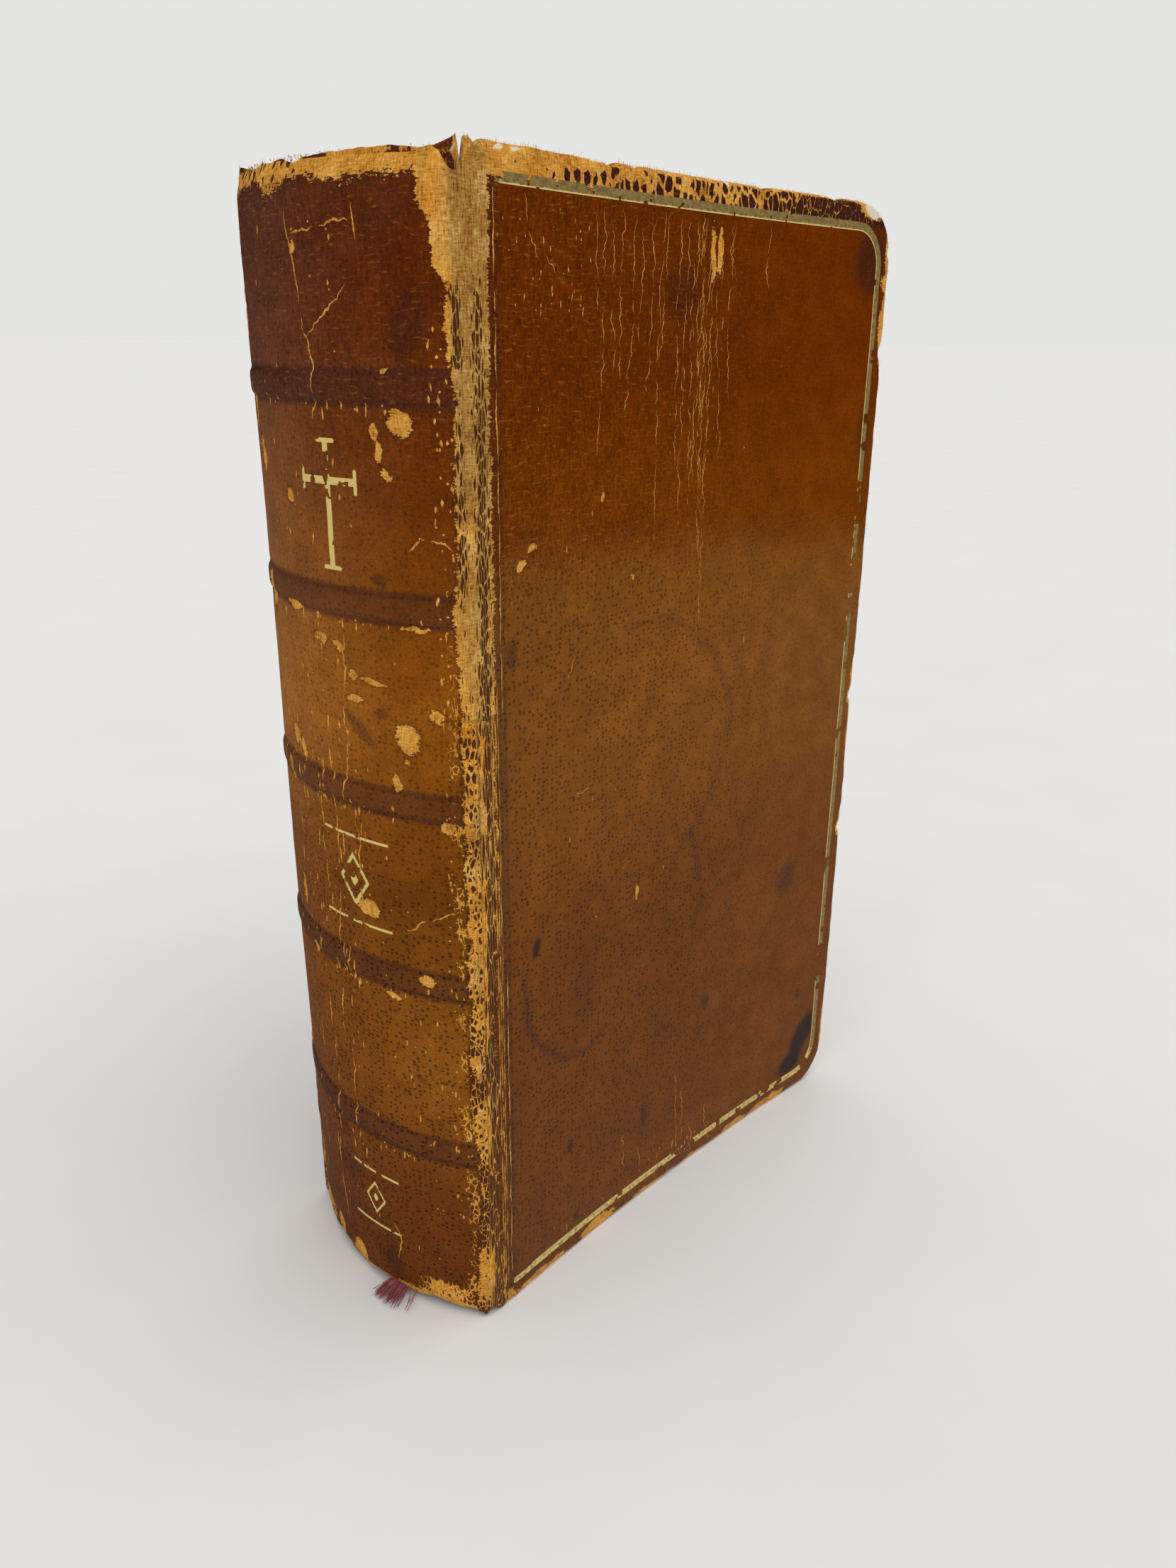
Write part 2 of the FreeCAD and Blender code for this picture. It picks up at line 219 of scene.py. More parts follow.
def spot(u, v, middle_u, middle_v, width, height, tilt=0.0):
    """1 in the middle of an ellipse, a half on its outline, 0 at twice its size."""
    turn = math.radians(tilt)
    a = (u - middle_u) * math.cos(turn) + (v - middle_v) * math.sin(turn)
    b = (v - middle_v) * math.cos(turn) - (u - middle_u) * math.sin(turn)
    return np.clip(1 - 0.5 * np.hypot(2 * a / width, 2 * b / height), 0, 1)


def distance_to_line(u, v, points):
    """Distance from places to a line drawn through some points."""
    near = np.full(u.shape, np.inf)
    for (u0, v0), (u1, v1) in zip(points, points[1:]):
        du = u1 - u0
        dv = v1 - v0
        share = np.clip(((u - u0) * du + (v - v0) * dv) / (du * du + dv * dv), 0, 1)
        near = np.minimum(near, np.hypot(u - u0 - share * du, v - v0 - share * dv))
    return near


# Places where the surface has flaked off: middle u, middle v, width, height, tilt in degrees.
FLAKES = [
    (-8.4, 137.0, 3.2, 3.2, 0),
    (-12.4, 135.8, 1.0, 2.4, 8),
    (-11.8, 133.4, 1.2, 3.0, 12),
    (-10.6, 130.8, 1.4, 2.2, 20),
    (-29.4, 127.0, 2.0, 2.2, 0),
    (-24.6, 157.0, 1.1, 1.2, 0),
    (-43.6, 163.5, 2.6, 5.0, 0),
    (-44.4, 152.0, 2.4, 11.0, 0),
    (-42.4, 138.0, 2.2, 6.0, 0),
    (-39.6, 131.6, 2.6, 5.0, 15),
    (-41.0, 112.5, 3.0, 6.0, 0),
    (-37.6, 86.0, 2.0, 4.0, 0),
    (-37.0, 66.0, 1.6, 5.0, 0),
    (-10.2, 142.9, 1.4, 0.6, 0),
    (-31.0, 112.0, 5.0, 1.3, 0),
    (-7.4, 111.6, 4.6, 0.7, 0),
    (-24.4, 108.5, 3.2, 1.4, -6),
    (-20.6, 107.9, 2.4, 1.3, -10),
    (-18.2, 104.3, 1.8, 1.7, 0),
    (-14.8, 103.8, 5.4, 0.8, -6),
    (-18.2, 101.0, 3.4, 1.0, 0),
    (-4.9, 100.0, 1.9, 2.2, 20),
    (-9.4, 96.6, 3.6, 4.2, 15),
    (-9.7, 93.5, 1.3, 0.9, 0),
    (-11.4, 90.0, 1.3, 2.6, 0),
    (-34.6, 92.0, 2.2, 3.0, 0),
    (-32.0, 90.6, 1.4, 4.0, 20),
    (-3.9, 84.5, 2.1, 2.1, 0),
    (-18.0, 69.6, 4.8, 2.6, -12),
    (-8.0, 60.5, 3.0, 1.8, 0),
    (-33.0, 58.0, 1.4, 2.0, 0),
    (-14.0, 56.2, 3.4, 1.0, -12),
    (-26.0, 3.0, 4.0, 4.6, 0),
    (-33.0, 4.0, 3.0, 3.6, 0),
    (11.8, 121.0, 1.7, 1.1, 20),
    (9.6, 119.0, 2.4, 1.5, 25),
    (26.1, 126.5, 0.8, 1.5, 0),
    (33.1, 114.5, 0.7, 1.5, 40),
    (35.8, 62.8, 0.7, 3.2, 3),
    (49.5, 158.3, 1.1, 8.5, 2),
    (51.1, 158.8, 1.0, 8.0, -2),
    (95.0, 156.0, 3.4, 3.2, 0),
    (95.0, 84.0, 2.6, 4.4, 0),
    (95.0, 57.0, 2.4, 3.6, 0),
    (77.6, 1.0, 12.0, 1.9, 0),
    (67.0, 0.9, 8.0, 1.7, 0),
    (54.0, 0.5, 8.0, 1.2, 0),
    (41.0, 0.7, 9.0, 1.4, 0),
    (27.1, 1.4, 9.0, 2.6, 0),
    (13.0, 0.8, 12.0, 1.7, 0),
    (4.0, 1.4, 5.0, 2.6, 0),
    (88.6, 166.7, 5.6, 2.6, -18),
]

# Dark stains: middle u, middle v, width, height, tilt, strength.
STAINS = [
    (-6.9, 148.0, 4.6, 8.0, -15, 0.36),
    (-17.5, 96.8, 7.0, 2.2, -38, 0.45),
    (-13.4, 99.6, 2.2, 1.6, 0, 0.45),
    (-12.6, 117.6, 2.6, 1.8, 0, 0.45),
    (-30.0, 28.0, 8.0, 3.0, -20, 0.40),
    (-10.0, 43.5, 3.0, 1.2, -30, 0.40),
    (-17.0, 6.0, 4.0, 7.0, 0, 0.40),
    (-28.0, 20.0, 8.0, 5.0, 0, 0.30),
    (43.0, 153.0, 8.0, 7.0, 0, 0.35),
    (90.0, 159.0, 9.0, 10.0, 0, 0.55),
    (92.0, 131.0, 4.0, 12.0, 0, 0.35),
    (7.3, 107.5, 2.4, 4.0, 0, 0.50),
    (11.8, 62.0, 1.7, 3.4, -20, 0.85),
    (22.6, 50.0, 6.0, 13.0, 0, 0.22),
    (78.8, 51.0, 5.5, 7.5, -25, 0.40),
    (39.1, 17.5, 1.7, 4.5, 0, 0.55),
    (19.6, 22.0, 1.7, 2.4, 0, 0.55),
    (21.1, 7.0, 1.5, 2.4, 0, 0.50),
    (55.8, 33.5, 2.2, 3.2, 0, 0.45),
    (85.6, 23.0, 2.2, 2.6, 0, 0.50),
    (88.2, 12.5, 6.0, 11.0, -38, 0.95),
    (84.6, 7.0, 8.0, 5.0, 15, 0.95),
]

# Rings left by wet things: points, width, strength.
RINGS = [
    ([(31.8, 107), (42.3, 107), (53.8, 99.5), (59.1, 90), (58.3, 82.5), (53.8, 73.5), (46, 66)], 3.0, 0.22),
    ([(9.1, 57.5), (10.1, 48.5), (12.3, 45), (18.1, 39.5), (23.1, 38.5), (27.1, 40)], 2.2, 0.42),
    ([(49.6, 69), (53.8, 55.5), (51.1, 51)], 2.4, 0.28),
]

# How far wear reaches in from the edges of a cover: place along the edge, reach.
HEAD_WEAR = [(0, 2.6), (14, 2.0), (24, 0.7), (60, 0.6), (82, 0.3), (90, 1.4), (96, 2.0)]
FORE_WEAR = [
    (0, 1.0), (50, 0.5), (57, 1.1), (64, 0.5), (84, 1.2), (95, 0.5), (138, 0.5), (146, 1.7), (164, 1.5),
]
SPINE_HEAD_WEAR = 3.3
SPINE_TAIL_WEAR = 1.8
COVER_TAIL_WEAR = 0.6

# How wide the cracks above the gilt line are: distance from the joint, width.
HEAD_CRACKS = [(2, 1.0), (13, 0.95), (19, 0.55), (30, 0.40), (45, 0.38), (58, 0.28), (72, 0.10), (88, 0.06)]
# How much leather is left on the two sides of a joint's rubbed strip: height, amount.
COVER_SIDE_SPECKS = [(0, 1.1), (60, 1.1), (100, 0.95), (150, 0.85), (158, 0.2)]
SPINE_SIDE_SPECKS = [(100, 0), (118, 0.85), (136, 0.85), (142, 0.4), (144, 1), (152, 1), (154, 0)]
MOST_SPECKS = 0.92
# Wear of an edge's outer face at the head and elsewhere, and of the leather turned in.
HEAD_RIM_WEAR = 0.58
RIM_WEAR = 0.40
INSIDE_WEAR = 0.2
# How pale the strip is, how strongly creases show and how strongly pores show, each place by place.
STRIP_PALE = [(0, 0.86), (80, 0.86), (105, 0.74), (130, 0.56), (165, 0.5)]
COVER_CREASES = [(0, 1.0), (20, 0.85), (50, 0.5), (80, 0.15)]
COVER_PORES_ACROSS = [(0, 1.0), (45, 0.85), (80, 0.4)]
COVER_PORES_UP = [(112, 1.0), (124, 0.5)]
SPINE_PORES_UP = [(0, 0.8), (25, 1.0), (60, 1.0), (85, 0.7), (110, 0.5), (140, 0.4)]
WHITE_BOARD = 1.8

# The rubbed strip along a joint: height, and how far its two sides are from the joint.
STRIP_SHAPE = [
    (0.0, -1.8, 4.2),
    (12.0, -1.3, 3.4),
    (20.0, -0.9, 2.4),
    (28.0, -0.5, 2.6),
    (34.0, -1.2, 3.2),
    (42.0, -2.0, 3.4),
    (50.0, -1.7, 2.4),
    (58.0, -1.4, 3.0),
    (75.0, -1.5, 3.7),
    (95.0, -1.6, 4.0),
    (113.0, -1.9, 4.2),
    (136.0, -1.3, 4.2),
    (139.0, -0.8, 4.2),
    (144.5, -2.2, 4.3),
    (152.5, -1.6, 4.4),
    (154.5, -3.2, 4.5),
    (160.0, -4.3, 4.6),
    (168.0, -6.0, 5.0),
]

# Colours of the spine from tail to head: height, then the side away from the front joint and the near side.
# The away side's greyer tint is partly its own tone and partly a painted sheen on the grain.
SPINE_COLOURS = [
    (0.0, (0.16, 0.042, 0.007), (0.150, 0.040, 0.005)),
    (20.0, (0.18, 0.048, 0.007), (0.175, 0.045, 0.005)),
    (45.0, (0.255, 0.070, 0.002), (0.300, 0.100, 0.008)),
    (73.0, (0.245, 0.070, 0.005), (0.185, 0.053, 0.002)),
    (100.0, (0.42, 0.150, 0.018), (0.320, 0.094, 0.004)),
    (128.0, (0.27, 0.088, 0.018), (0.165, 0.034, 0.0005)),
    (143.0, (0.17, 0.048, 0.018), (0.150, 0.030, 0.002)),
    (155.0, (0.14, 0.040, 0.018), (0.135, 0.021, 0.001)),
    (168.0, (0.12, 0.034, 0.016), (0.105, 0.022, 0.004)),
]

# Cover colours. The hazy one is partly the leather's tone and partly a painted reflection of the pale
# floor; the low one is partly tone and partly painted shade for the dimmer reflection of the shadowed floor
# near the book.
COVER_COLOUR = np.array([0.160, 0.030, 0.0006])
COVER_WARM_COLOUR = np.array([0.195, 0.044, 0.0006])
COVER_TONE_AND_REFLECTION_COLOUR = np.array([0.230, 0.074, 0.0040])
COVER_LOW_TONE_AND_SHADE_COLOUR = np.array([0.168, 0.046, 0.0015])
FLAKE_PALE = 0.9
STAIN_COLOUR = np.array([0.020, 0.011, 0.0110])
ABOVE_GILT_COLOUR = np.array([0.050, 0.015, 0.0120])
TOOLED_COLOUR = np.array([0.060, 0.020, 0.0140])


def mirrored_to_front(u):
    """The matching place of the front half of the book for a place on the back half."""
    return np.where(u < -SPINE_ACROSS / 2, -u - SPINE_ACROSS, u)


def on_cover(u):
    """1 on the covers, 0 on the spine."""
    return step_between(mirrored_to_front(u), -2.5, 1.5)


def along(value, table):
    """The second column of a table, read where its first column has this value."""
    return np.interp(value, *zip(*table))


def inside_strip(u, v):
    """How far inside the rubbed strip of a joint a place lies, in millimetres."""
    across = mirrored_to_front(u)
    heights, low, high = zip(*STRIP_SHAPE)
    spine_side = across - np.interp(v, heights, low) + 0.7 * layered_noise(0.5 * u, v, 2.6, 24)
    cover_side = np.interp(v, heights, high) - across + 0.2 * layered_noise(0.5 * u, v, 2.6, 25)
    return np.minimum(spine_side, cover_side)


def edge_wear(u, v):
    """Wear along the head and tail of the spine and along the edges of the covers."""
    across = mirrored_to_front(u)
    on_spine = across < 0
    head_reach = np.where(on_spine, SPINE_HEAD_WEAR, along(across, HEAD_WEAR))
    head_reach = head_reach * (1 + 0.3 * noise(u, v, 3.0, 21))
    tail_reach = np.where(on_spine, SPINE_TAIL_WEAR, COVER_TAIL_WEAR)
    tail_reach = tail_reach * (1 + 0.3 * noise(u, v, 3.0, 22))
    fore_reach = along(v, FORE_WEAR)
    head = 1 - 0.5 * (np.where(on_spine, SPINE_HEAD_Z, HEIGHT) - v) / head_reach
    tail = 1 - 0.5 * (v - np.where(on_spine, VISIBLE_TAIL_Z, 0)) / tail_reach
    fore = 1 - 0.5 * (COVER_ACROSS - across) / (fore_reach * (1 + 0.5 * noise(u, v, 5.0, 23)))
    fore = fore * (0.5 + 0.5 * step_between(fore_reach, 0.5, 0.9))
    return np.clip(np.maximum.reduce([head, tail, fore]), 0, 0.85)


def wear_field(u, v):
    """How worn the surface is: above a half, the suede below the grain shows."""
    strip = 0.5 + 0.45 * np.clip(inside_strip(u, v) / 1.6, -1, 1)
    worn = np.maximum(strip, edge_wear(u, v))
    torn_u = u + 0.45 * layered_noise(u, v, 1.3, 26)
    torn_v = v + 0.45 * layered_noise(u, v, 1.3, 36)
    for middle_u, middle_v, width, height, tilt in FLAKES:
        worn = np.maximum(worn, 0.98 * spot(torn_u, torn_v, middle_u, middle_v, width, height, tilt))
    specks = 0.40 * step_between(layered_noise(u, v, 2.2, 41), 0.40, 0.8)
    return np.maximum(worn, specks * np.where(u < 0, 1.0, 0.6))


def cracks_field(u, v):
    """How wide the bare cracks between islands of leather are."""
    across = mirrored_to_front(u)
    above_gilt = step_between(v, HEAD_LINE_Z - 0.1, HEAD_LINE_Z + 0.1) * (across > 0)
    tail_corner = 0.7 * (across < -0.5) * bump(across, -7.0, 7.0) * step_between(-v, -6.5, -4.5)
    flecked = np.clip(0.5 + layered_noise(u, v, 3.0, 33), 0, 1)
    near_strip = 0.5 * flecked * step_between(inside_strip(u, v), -2.6, -0.3)
    near_strip = near_strip * step_between(-v, -130, -96) * (across < 0)
    return np.maximum.reduce([above_gilt * along(across, HEAD_CRACKS), tail_corner, near_strip])


def lace_field(u, v):
    """Above zero, cracks between islands of leather. Below zero, specks of leather left on bare places."""
    across = mirrored_to_front(u)
    cracks = cracks_field(u, v)
    cover_side = bump(across, 2.6, 3.2) * along(v, COVER_SIDE_SPECKS)
    spine_side = bump(across, -0.7, 1.9) * along(v, SPINE_SIDE_SPECKS)
    patchy = np.clip(0.84 + 0.5 * noise(u * 0.3, v, 9.0, 32), 0.4, 0.9)
    low_part = patchy * (0.35 + 0.65 * step_between(-v, -112, -92))
    head_edge = 0.7 * (across < -1) * step_between(v, 163, 164) * step_between(-u, 14, 30)
    specks = np.maximum.reduce([cover_side, spine_side, low_part, head_edge])
    bare = (inside_strip(u, v) > -0.4) | (head_edge > 0)
    return np.where(bare & (cracks <= 0.45), -np.minimum(specks, MOST_SPECKS), cracks)


def flat_place(u, v):
    """Places of the flat sheet as vectors."""
    return np.stack([u, v, 0 * u], -1)


def lace_place(u, v):
    """Places counted in islands: wide above the gilt line, slender along the joints."""
    above_gilt = v > HEAD_LINE_Z
    threads = (v < 100) & (mirrored_to_front(u) > 0.8)
    across = np.where(above_gilt, 1.35, np.where(threads | (v > 100), 0.45, 0.72))
    up = np.where(above_gilt, 2.4, np.where(threads, 4.0, np.where(v > 100, 2.3, 1.3)))
    return flat_place(u / across, v / up)


def pale_field(u, v):
    """What bare places show, from dull orange over straw (a half) and bright orange (1) to white board."""
    across = mirrored_to_front(u)
    streaks = 0.32 * layered_noise(u, v * 0.16, 0.9, 43) + 0.2 * noise(u, v, 7.0, 44)
    strip = np.clip(along(v, STRIP_PALE) + streaks + 0.35 * step_between(-across, 0.4, 2.0), 0, 1)
    strip_share = step_between(inside_strip(u, v), -0.6, 0.4)
    corner = step_between(spot(u, v, COVER_ACROSS - 6.2, HEIGHT - 1.4, 4.6, 2.2, -18), 0.4, 0.6)
    bits = step_between(layered_noise(u, v * 2, 4.0, 42), 0.38, 0.5)
    bits = bits * step_between(v, HEIGHT - 1.4, HEIGHT - 0.8) * (u > 0)
    pale = FLAKE_PALE + (strip - FLAKE_PALE) * strip_share
    return np.maximum(pale, WHITE_BOARD * np.maximum(corner, bits))


def weave_field(u, v):
    """Where fine level creases show in the surface."""
    across = mirrored_to_front(u)
    cover = along(across, COVER_CREASES) * step_between(v, 96, 122)
    spine = 0.7 * step_between(v, 118, 142)
    return np.where(across > 1, cover, spine)


def pores_field(u, v):
    """How strongly the pores of the grain show, as pits and as dark dots of painted shade."""
    across = mirrored_to_front(u)
    cover = along(across, COVER_PORES_ACROSS) * along(v, COVER_PORES_UP)
    return np.where(across > 1, cover, along(v, SPINE_PORES_UP))


def blend_colours(first, second, share):
    """From the first colour to the second as share goes from 0 to 1."""
    return first * (1 - share[..., None]) + second * share[..., None]


def colour_at(v, heights, colours):
    """Colours at these heights, read from a table of colours."""
    return np.stack([np.interp(v, heights, channel) for channel in zip(*colours)], -1)


def spine_colour(u, v):
    """The spine's colour, which changes from panel to panel and across it."""
    heights, away, near = zip(*SPINE_COLOURS)
    wander = 0.25 * layered_noise(u, v, 9.0, 51)
    to_away = np.clip((-u - 8) / 26 + wander, 0, 1)
    # Towards the side away from the front joint the colour turns greyer, partly a painted sheen on the
    # grain.
    return blend_colours(colour_at(v, heights, near), colour_at(v, heights, away), to_away)


def cover_colour(u, v):
    """The covers' colour: darkest at the head, warmer below, and on the front cover hazy in the middle and
    darker low down. The haze is partly the leather's tone and partly a painted reflection of the pale
    floor; the darker low part is partly tone and partly painted shade for the dimmer reflection of the
    shadowed floor near the book.
    """
    on_front = u > -SPINE_ACROSS / 2
    reflection_edge = v + 2.0 * layered_noise(u, v, 5.0, 63) - 122.5 + 0.05 * np.abs(u)
    colour = blend_colours(COVER_COLOUR, COVER_WARM_COLOUR, step_between(-v, -144, -124))
    # Painted reflection: lighter, hazier colour in the front cover's middle, partly the leather's tone.
    colour = blend_colours(colour, COVER_TONE_AND_REFLECTION_COLOUR, step_between(-reflection_edge, -1.5, 8.0) * on_front)
    # Painted shade: darker low on the front cover, partly the leather's tone.
    return blend_colours(colour, COVER_LOW_TONE_AND_SHADE_COLOUR, step_between(-v, -90, -55) * on_front)


def with_tooling(colour, u, v):
    """Darkens the raised bands, the lines beside them and the lines beside the joints."""
    on_spine = 1 - on_cover(u)
    away = np.clip((-u - 6) / 20, 0, 1)
    for height in BAND_HEIGHTS:
        band = step_between(-np.abs(v - height), -BAND_WIDTH / 2 - 0.5, -BAND_WIDTH / 2 + 0.3)
        band_darkness = BAND_DARKNESS + FAR_BAND_DARKNESS * away
        colour = blend_colours(colour, TOOLED_COLOUR, band * band_darkness * on_spine)
        for offset in (-TOOLED_LINE_OFFSET, TOOLED_LINE_OFFSET):
            line = bump(v, height + offset, 0.8) * on_spine
            colour = blend_colours(colour, TOOLED_COLOUR, LINE_DARKNESS * line)
    for line_u in JOINT_LINES:
        line = bump(mirrored_to_front(u), line_u, 0.55) * (0.8 + 0.2 * noise(u, v, 6.0, 72))
        colour = blend_colours(colour, TOOLED_COLOUR, JOINT_LINE_DARKNESS * np.clip(line, 0, 1))
    return colour


def with_stains(colour, u, v):
    """Adds the dark stains and rings."""
    for middle_u, middle_v, width, height, tilt, strength in STAINS:
        stain = step_between(spot(u, v, middle_u, middle_v, width, height, tilt), 0.35, 0.7)
        colour = blend_colours(colour, STAIN_COLOUR, strength * stain)
    for points, width, strength in RINGS:
        ring = strength * bump(distance_to_line(u, v, points), 0, width / 2)
        colour = blend_colours(colour, STAIN_COLOUR, ring)
    return colour


def tone_field(u, v):
    """The leather's colour before grain, creases and wear."""
    cover_share = on_cover(u)
    colour = blend_colours(spine_colour(u, v), cover_colour(u, v), cover_share)
    cloudy = 0.12 * layered_noise(u, v, 22.0, 61) + 0.07 * layered_noise(u, v * 0.5, 4.0, 62)
    colour = colour * (1 + cloudy)[..., None]
    above_gilt = step_between(v, HEAD_LINE_Z - 0.3, HEAD_LINE_Z + 0.3) * cover_share
    colour = blend_colours(colour, ABOVE_GILT_COLOUR, above_gilt * 0.92)
    return with_stains(with_tooling(colour, u, v), u, v)


def relief(u, v):
    """How far the outside lies below its plain shape: negative over the bands."""
    spine = middle_of_spine(u)
    away = np.clip((-u - SPINE_ACROSS / 2) / (SPINE_ACROSS / 2), 0, 1) * spine
    depth = 0.05 * layered_noise(u, v, 7.0, 81) + 0.10 * noise(u, v, 26.0, 82)
    for height in BAND_HEIGHTS:
        crest = step_between(-np.abs(v - height), -BAND_WIDTH / 2 - 1.0, -BAND_WIDTH / 2 + 0.9)
        depth = depth - BAND_RISE_SEEN * crest * spine
        for offset in (-TOOLED_LINE_OFFSET, TOOLED_LINE_OFFSET):
            depth = depth + TOOLED_LINE_DEPTH * bump(v, height + offset, TOOLED_LINE_WIDTH) * spine
    depth = depth - FAR_HEAD_SWELL * away * step_between(v, 110, HEIGHT)
    depth = depth + FAR_TAIL_TUCK * away * step_between(-v, -60, 0)
    head_roll = HEAD_ROLL * step_between(v, SPINE_HEAD_Z - 4.5, SPINE_HEAD_Z + 0.5) ** 2 * spine
    tail_roll = TAIL_ROLL * step_between(-v, -VISIBLE_TAIL_Z - 3.5, -VISIBLE_TAIL_Z + 0.5) ** 2 * spine
    for line_u in JOINT_LINES:
        depth = depth + JOINT_LINE_DEPTH * bump(mirrored_to_front(u), line_u, 0.45)
    depth = depth + BARE_DEPTH * step_between(wear_field(u, v), 0.42, 0.6)
    return depth + head_roll + tail_roll


def middle_of_spine(u):
    """1 across the spine, falling to 0 at both joints."""
    return step_between(SPINE_ACROSS / 2 - np.abs(u + SPINE_ACROSS / 2), 0.0, 3.0)


# ---------------------------------------------------------------- mesh building

def grid_faces(rows, columns, flipped=False):
    """Four-sided faces between the points of a grid."""
    index = np.arange(rows * columns).reshape(rows, columns)
    corners = [index[:-1, :-1], index[:-1, 1:], index[1:, 1:], index[1:, :-1]]
    if flipped:
        corners.reverse()
    return np.stack(corners, -1).reshape(-1, 4)


def grid_part(points, fields, flipped=False):
    """A grid of points with its faces, and its fields laid out one point after another."""
    flat = {name: values.reshape((-1,) + values.shape[2:]) for name, values in fields.items()}
    faces = grid_faces(*points.shape[:2], flipped)
    return {"points": points.reshape(-1, 3), "faces": faces, "fields": flat}


def sheet_fields(u, v):
    """Everything the leather material reads at each point."""
    return {
        "sheet": flat_place(u, v),
        "tone": np.concatenate([tone_field(u, v), np.ones(u.shape + (1,))], -1),
        "wear": wear_field(u, v),
        "lace": lace_field(u, v),
        "lace_place": lace_place(u, v),
        "pale": pale_field(u, v),
        "weave": weave_field(u, v),
        "pores": pores_field(u, v),
        "gloss": on_cover(u),
    }


def joined(parts):
    """One set of points, faces and fields out of several."""
    points = np.concatenate([part["points"] for part in parts])
    faces = []
    first = 0
    for part in parts:
        faces.append(part["faces"] + first)
        first += len(part["points"])
    names = parts[0]["fields"]
    fields = {name: np.concatenate([part["fields"][name] for part in parts]) for name in names}
    return {"points": points, "faces": np.concatenate(faces), "fields": fields}


def new_piece(name, part, materials, face_materials=None, smooth=True):
    """An object out of points in millimetres, four-sided faces and fields."""
    mesh = bpy.data.meshes.new(name)
    points = part["points"] * MM
    faces = part["faces"]
    mesh.vertices.add(len(points))
    mesh.vertices.foreach_set("co", points.astype(np.float32).ravel())
    mesh.loops.add(faces.size)
    mesh.loops.foreach_set("vertex_index", faces.astype(np.int32).ravel())
    mesh.polygons.add(len(faces))
    mesh.polygons.foreach_set("loop_start", np.arange(0, faces.size, faces.shape[1], dtype=np.int32))
    mesh.update(calc_edges=True)
    mesh.validate()
    kinds = {1: ("FLOAT", "value"), 3: ("FLOAT_VECTOR", "vector"), 4: ("FLOAT_COLOR", "color")}
    for field, values in part["fields"].items():
        kind, key = kinds[values.shape[-1] if values.ndim > 1 else 1]
        attribute = mesh.attributes.new(field, kind, "POINT")
        attribute.data.foreach_set(key, values.astype(np.float32).ravel())
    for material in materials:
        mesh.materials.append(material)
    if face_materials is not None:
        mesh.polygons.foreach_set("material_index", face_materials.astype(np.int32))
    if smooth:
        mesh.shade_smooth()
    piece = bpy.data.objects.new(name, mesh)
    bpy.context.scene.collection.objects.link(piece)
    return piece


def leather_grid(u, v, flipped):
    """The outside of a stretch of leather over a grid of sheet places."""
    return grid_part(on_sheet(u, v, relief(u, v)), sheet_fields(u, v), flipped)


def turning_steps(thickness, turn_in):
    """Inset and depth of each line of a turned edge: down the edge, round the corner, and inside."""
    rounding = ROUNDING * thickness
    straight = [rounding, 0.5 * thickness, thickness - rounding]
    steps = [(0 * rounding, depth) for depth in straight]
    for turn in (30, 60, 90):
        angle = math.radians(turn)
        steps.append((rounding * (1 - math.cos(angle)), thickness - rounding * (1 - math.sin(angle))))
    for share in (0.03, 0.07, 0.12, 0.2, 0.4, 0.7, 1.0):
        steps.append((rounding + (turn_in - rounding) * share, thickness))
    inset, depth = zip(*steps)
    return np.stack(inset), np.stack(depth)


def turned_edge(u, v, inward_u, inward_v, thickness, turn_in, flipped):
    """The leather turned over an edge: round the outside corner, across the edge, and inside.

    u and v run along the edge, and inward_u and inward_v point from it into the sheet."""
    inset, depth = turning_steps(thickness, turn_in)
    sheet_u = u + inset * inward_u
    sheet_v = v + inset * inward_v
    points = on_sheet(sheet_u, sheet_v, depth + relief(u, v) * (1 - depth / thickness))
    beyond_u = sheet_u - (inset + depth) * inward_u
    beyond_v = sheet_v - (inset + depth) * inward_v
    fields = sheet_fields(u + 0 * inset, v + 0 * inset)
    fields["sheet"] = flat_place(beyond_u, beyond_v)
    fields["tone"][..., :3] = tone_field(sheet_u, sheet_v)
    fields["lace_place"] = lace_place(beyond_u, beyond_v)
    inside = step_between(inset, 0.3, 1.5)
    over_edge = step_between(depth, 0.25, 0.7)
    rim_wear = np.where(v > HEAD_LINE_Z, HEAD_RIM_WEAR, RIM_WEAR)
    chipped = rim_wear + 0.35 * layered_noise(beyond_u, beyond_v, 4.0, 94)
    worn = fields["wear"] * (1 - over_edge) + chipped * over_edge
    fields["wear"] = worn * (1 - inside) + INSIDE_WEAR * inside
    fields["lace"] = fields["lace"] * (1 - 0.6 * over_edge) * (1 - inside)
    return grid_part(points, fields, flipped)


def fine_ends(low, high, step, end_step, end_reach):
    """Places from low to high, closer together near both ends."""
    ends = np.arange(0, end_reach, end_step)
    middle = np.linspace(low + end_reach, high - end_reach, int((high - low - 2 * end_reach) / step))
    return np.concatenate([low + ends, middle, high - ends[::-1]])


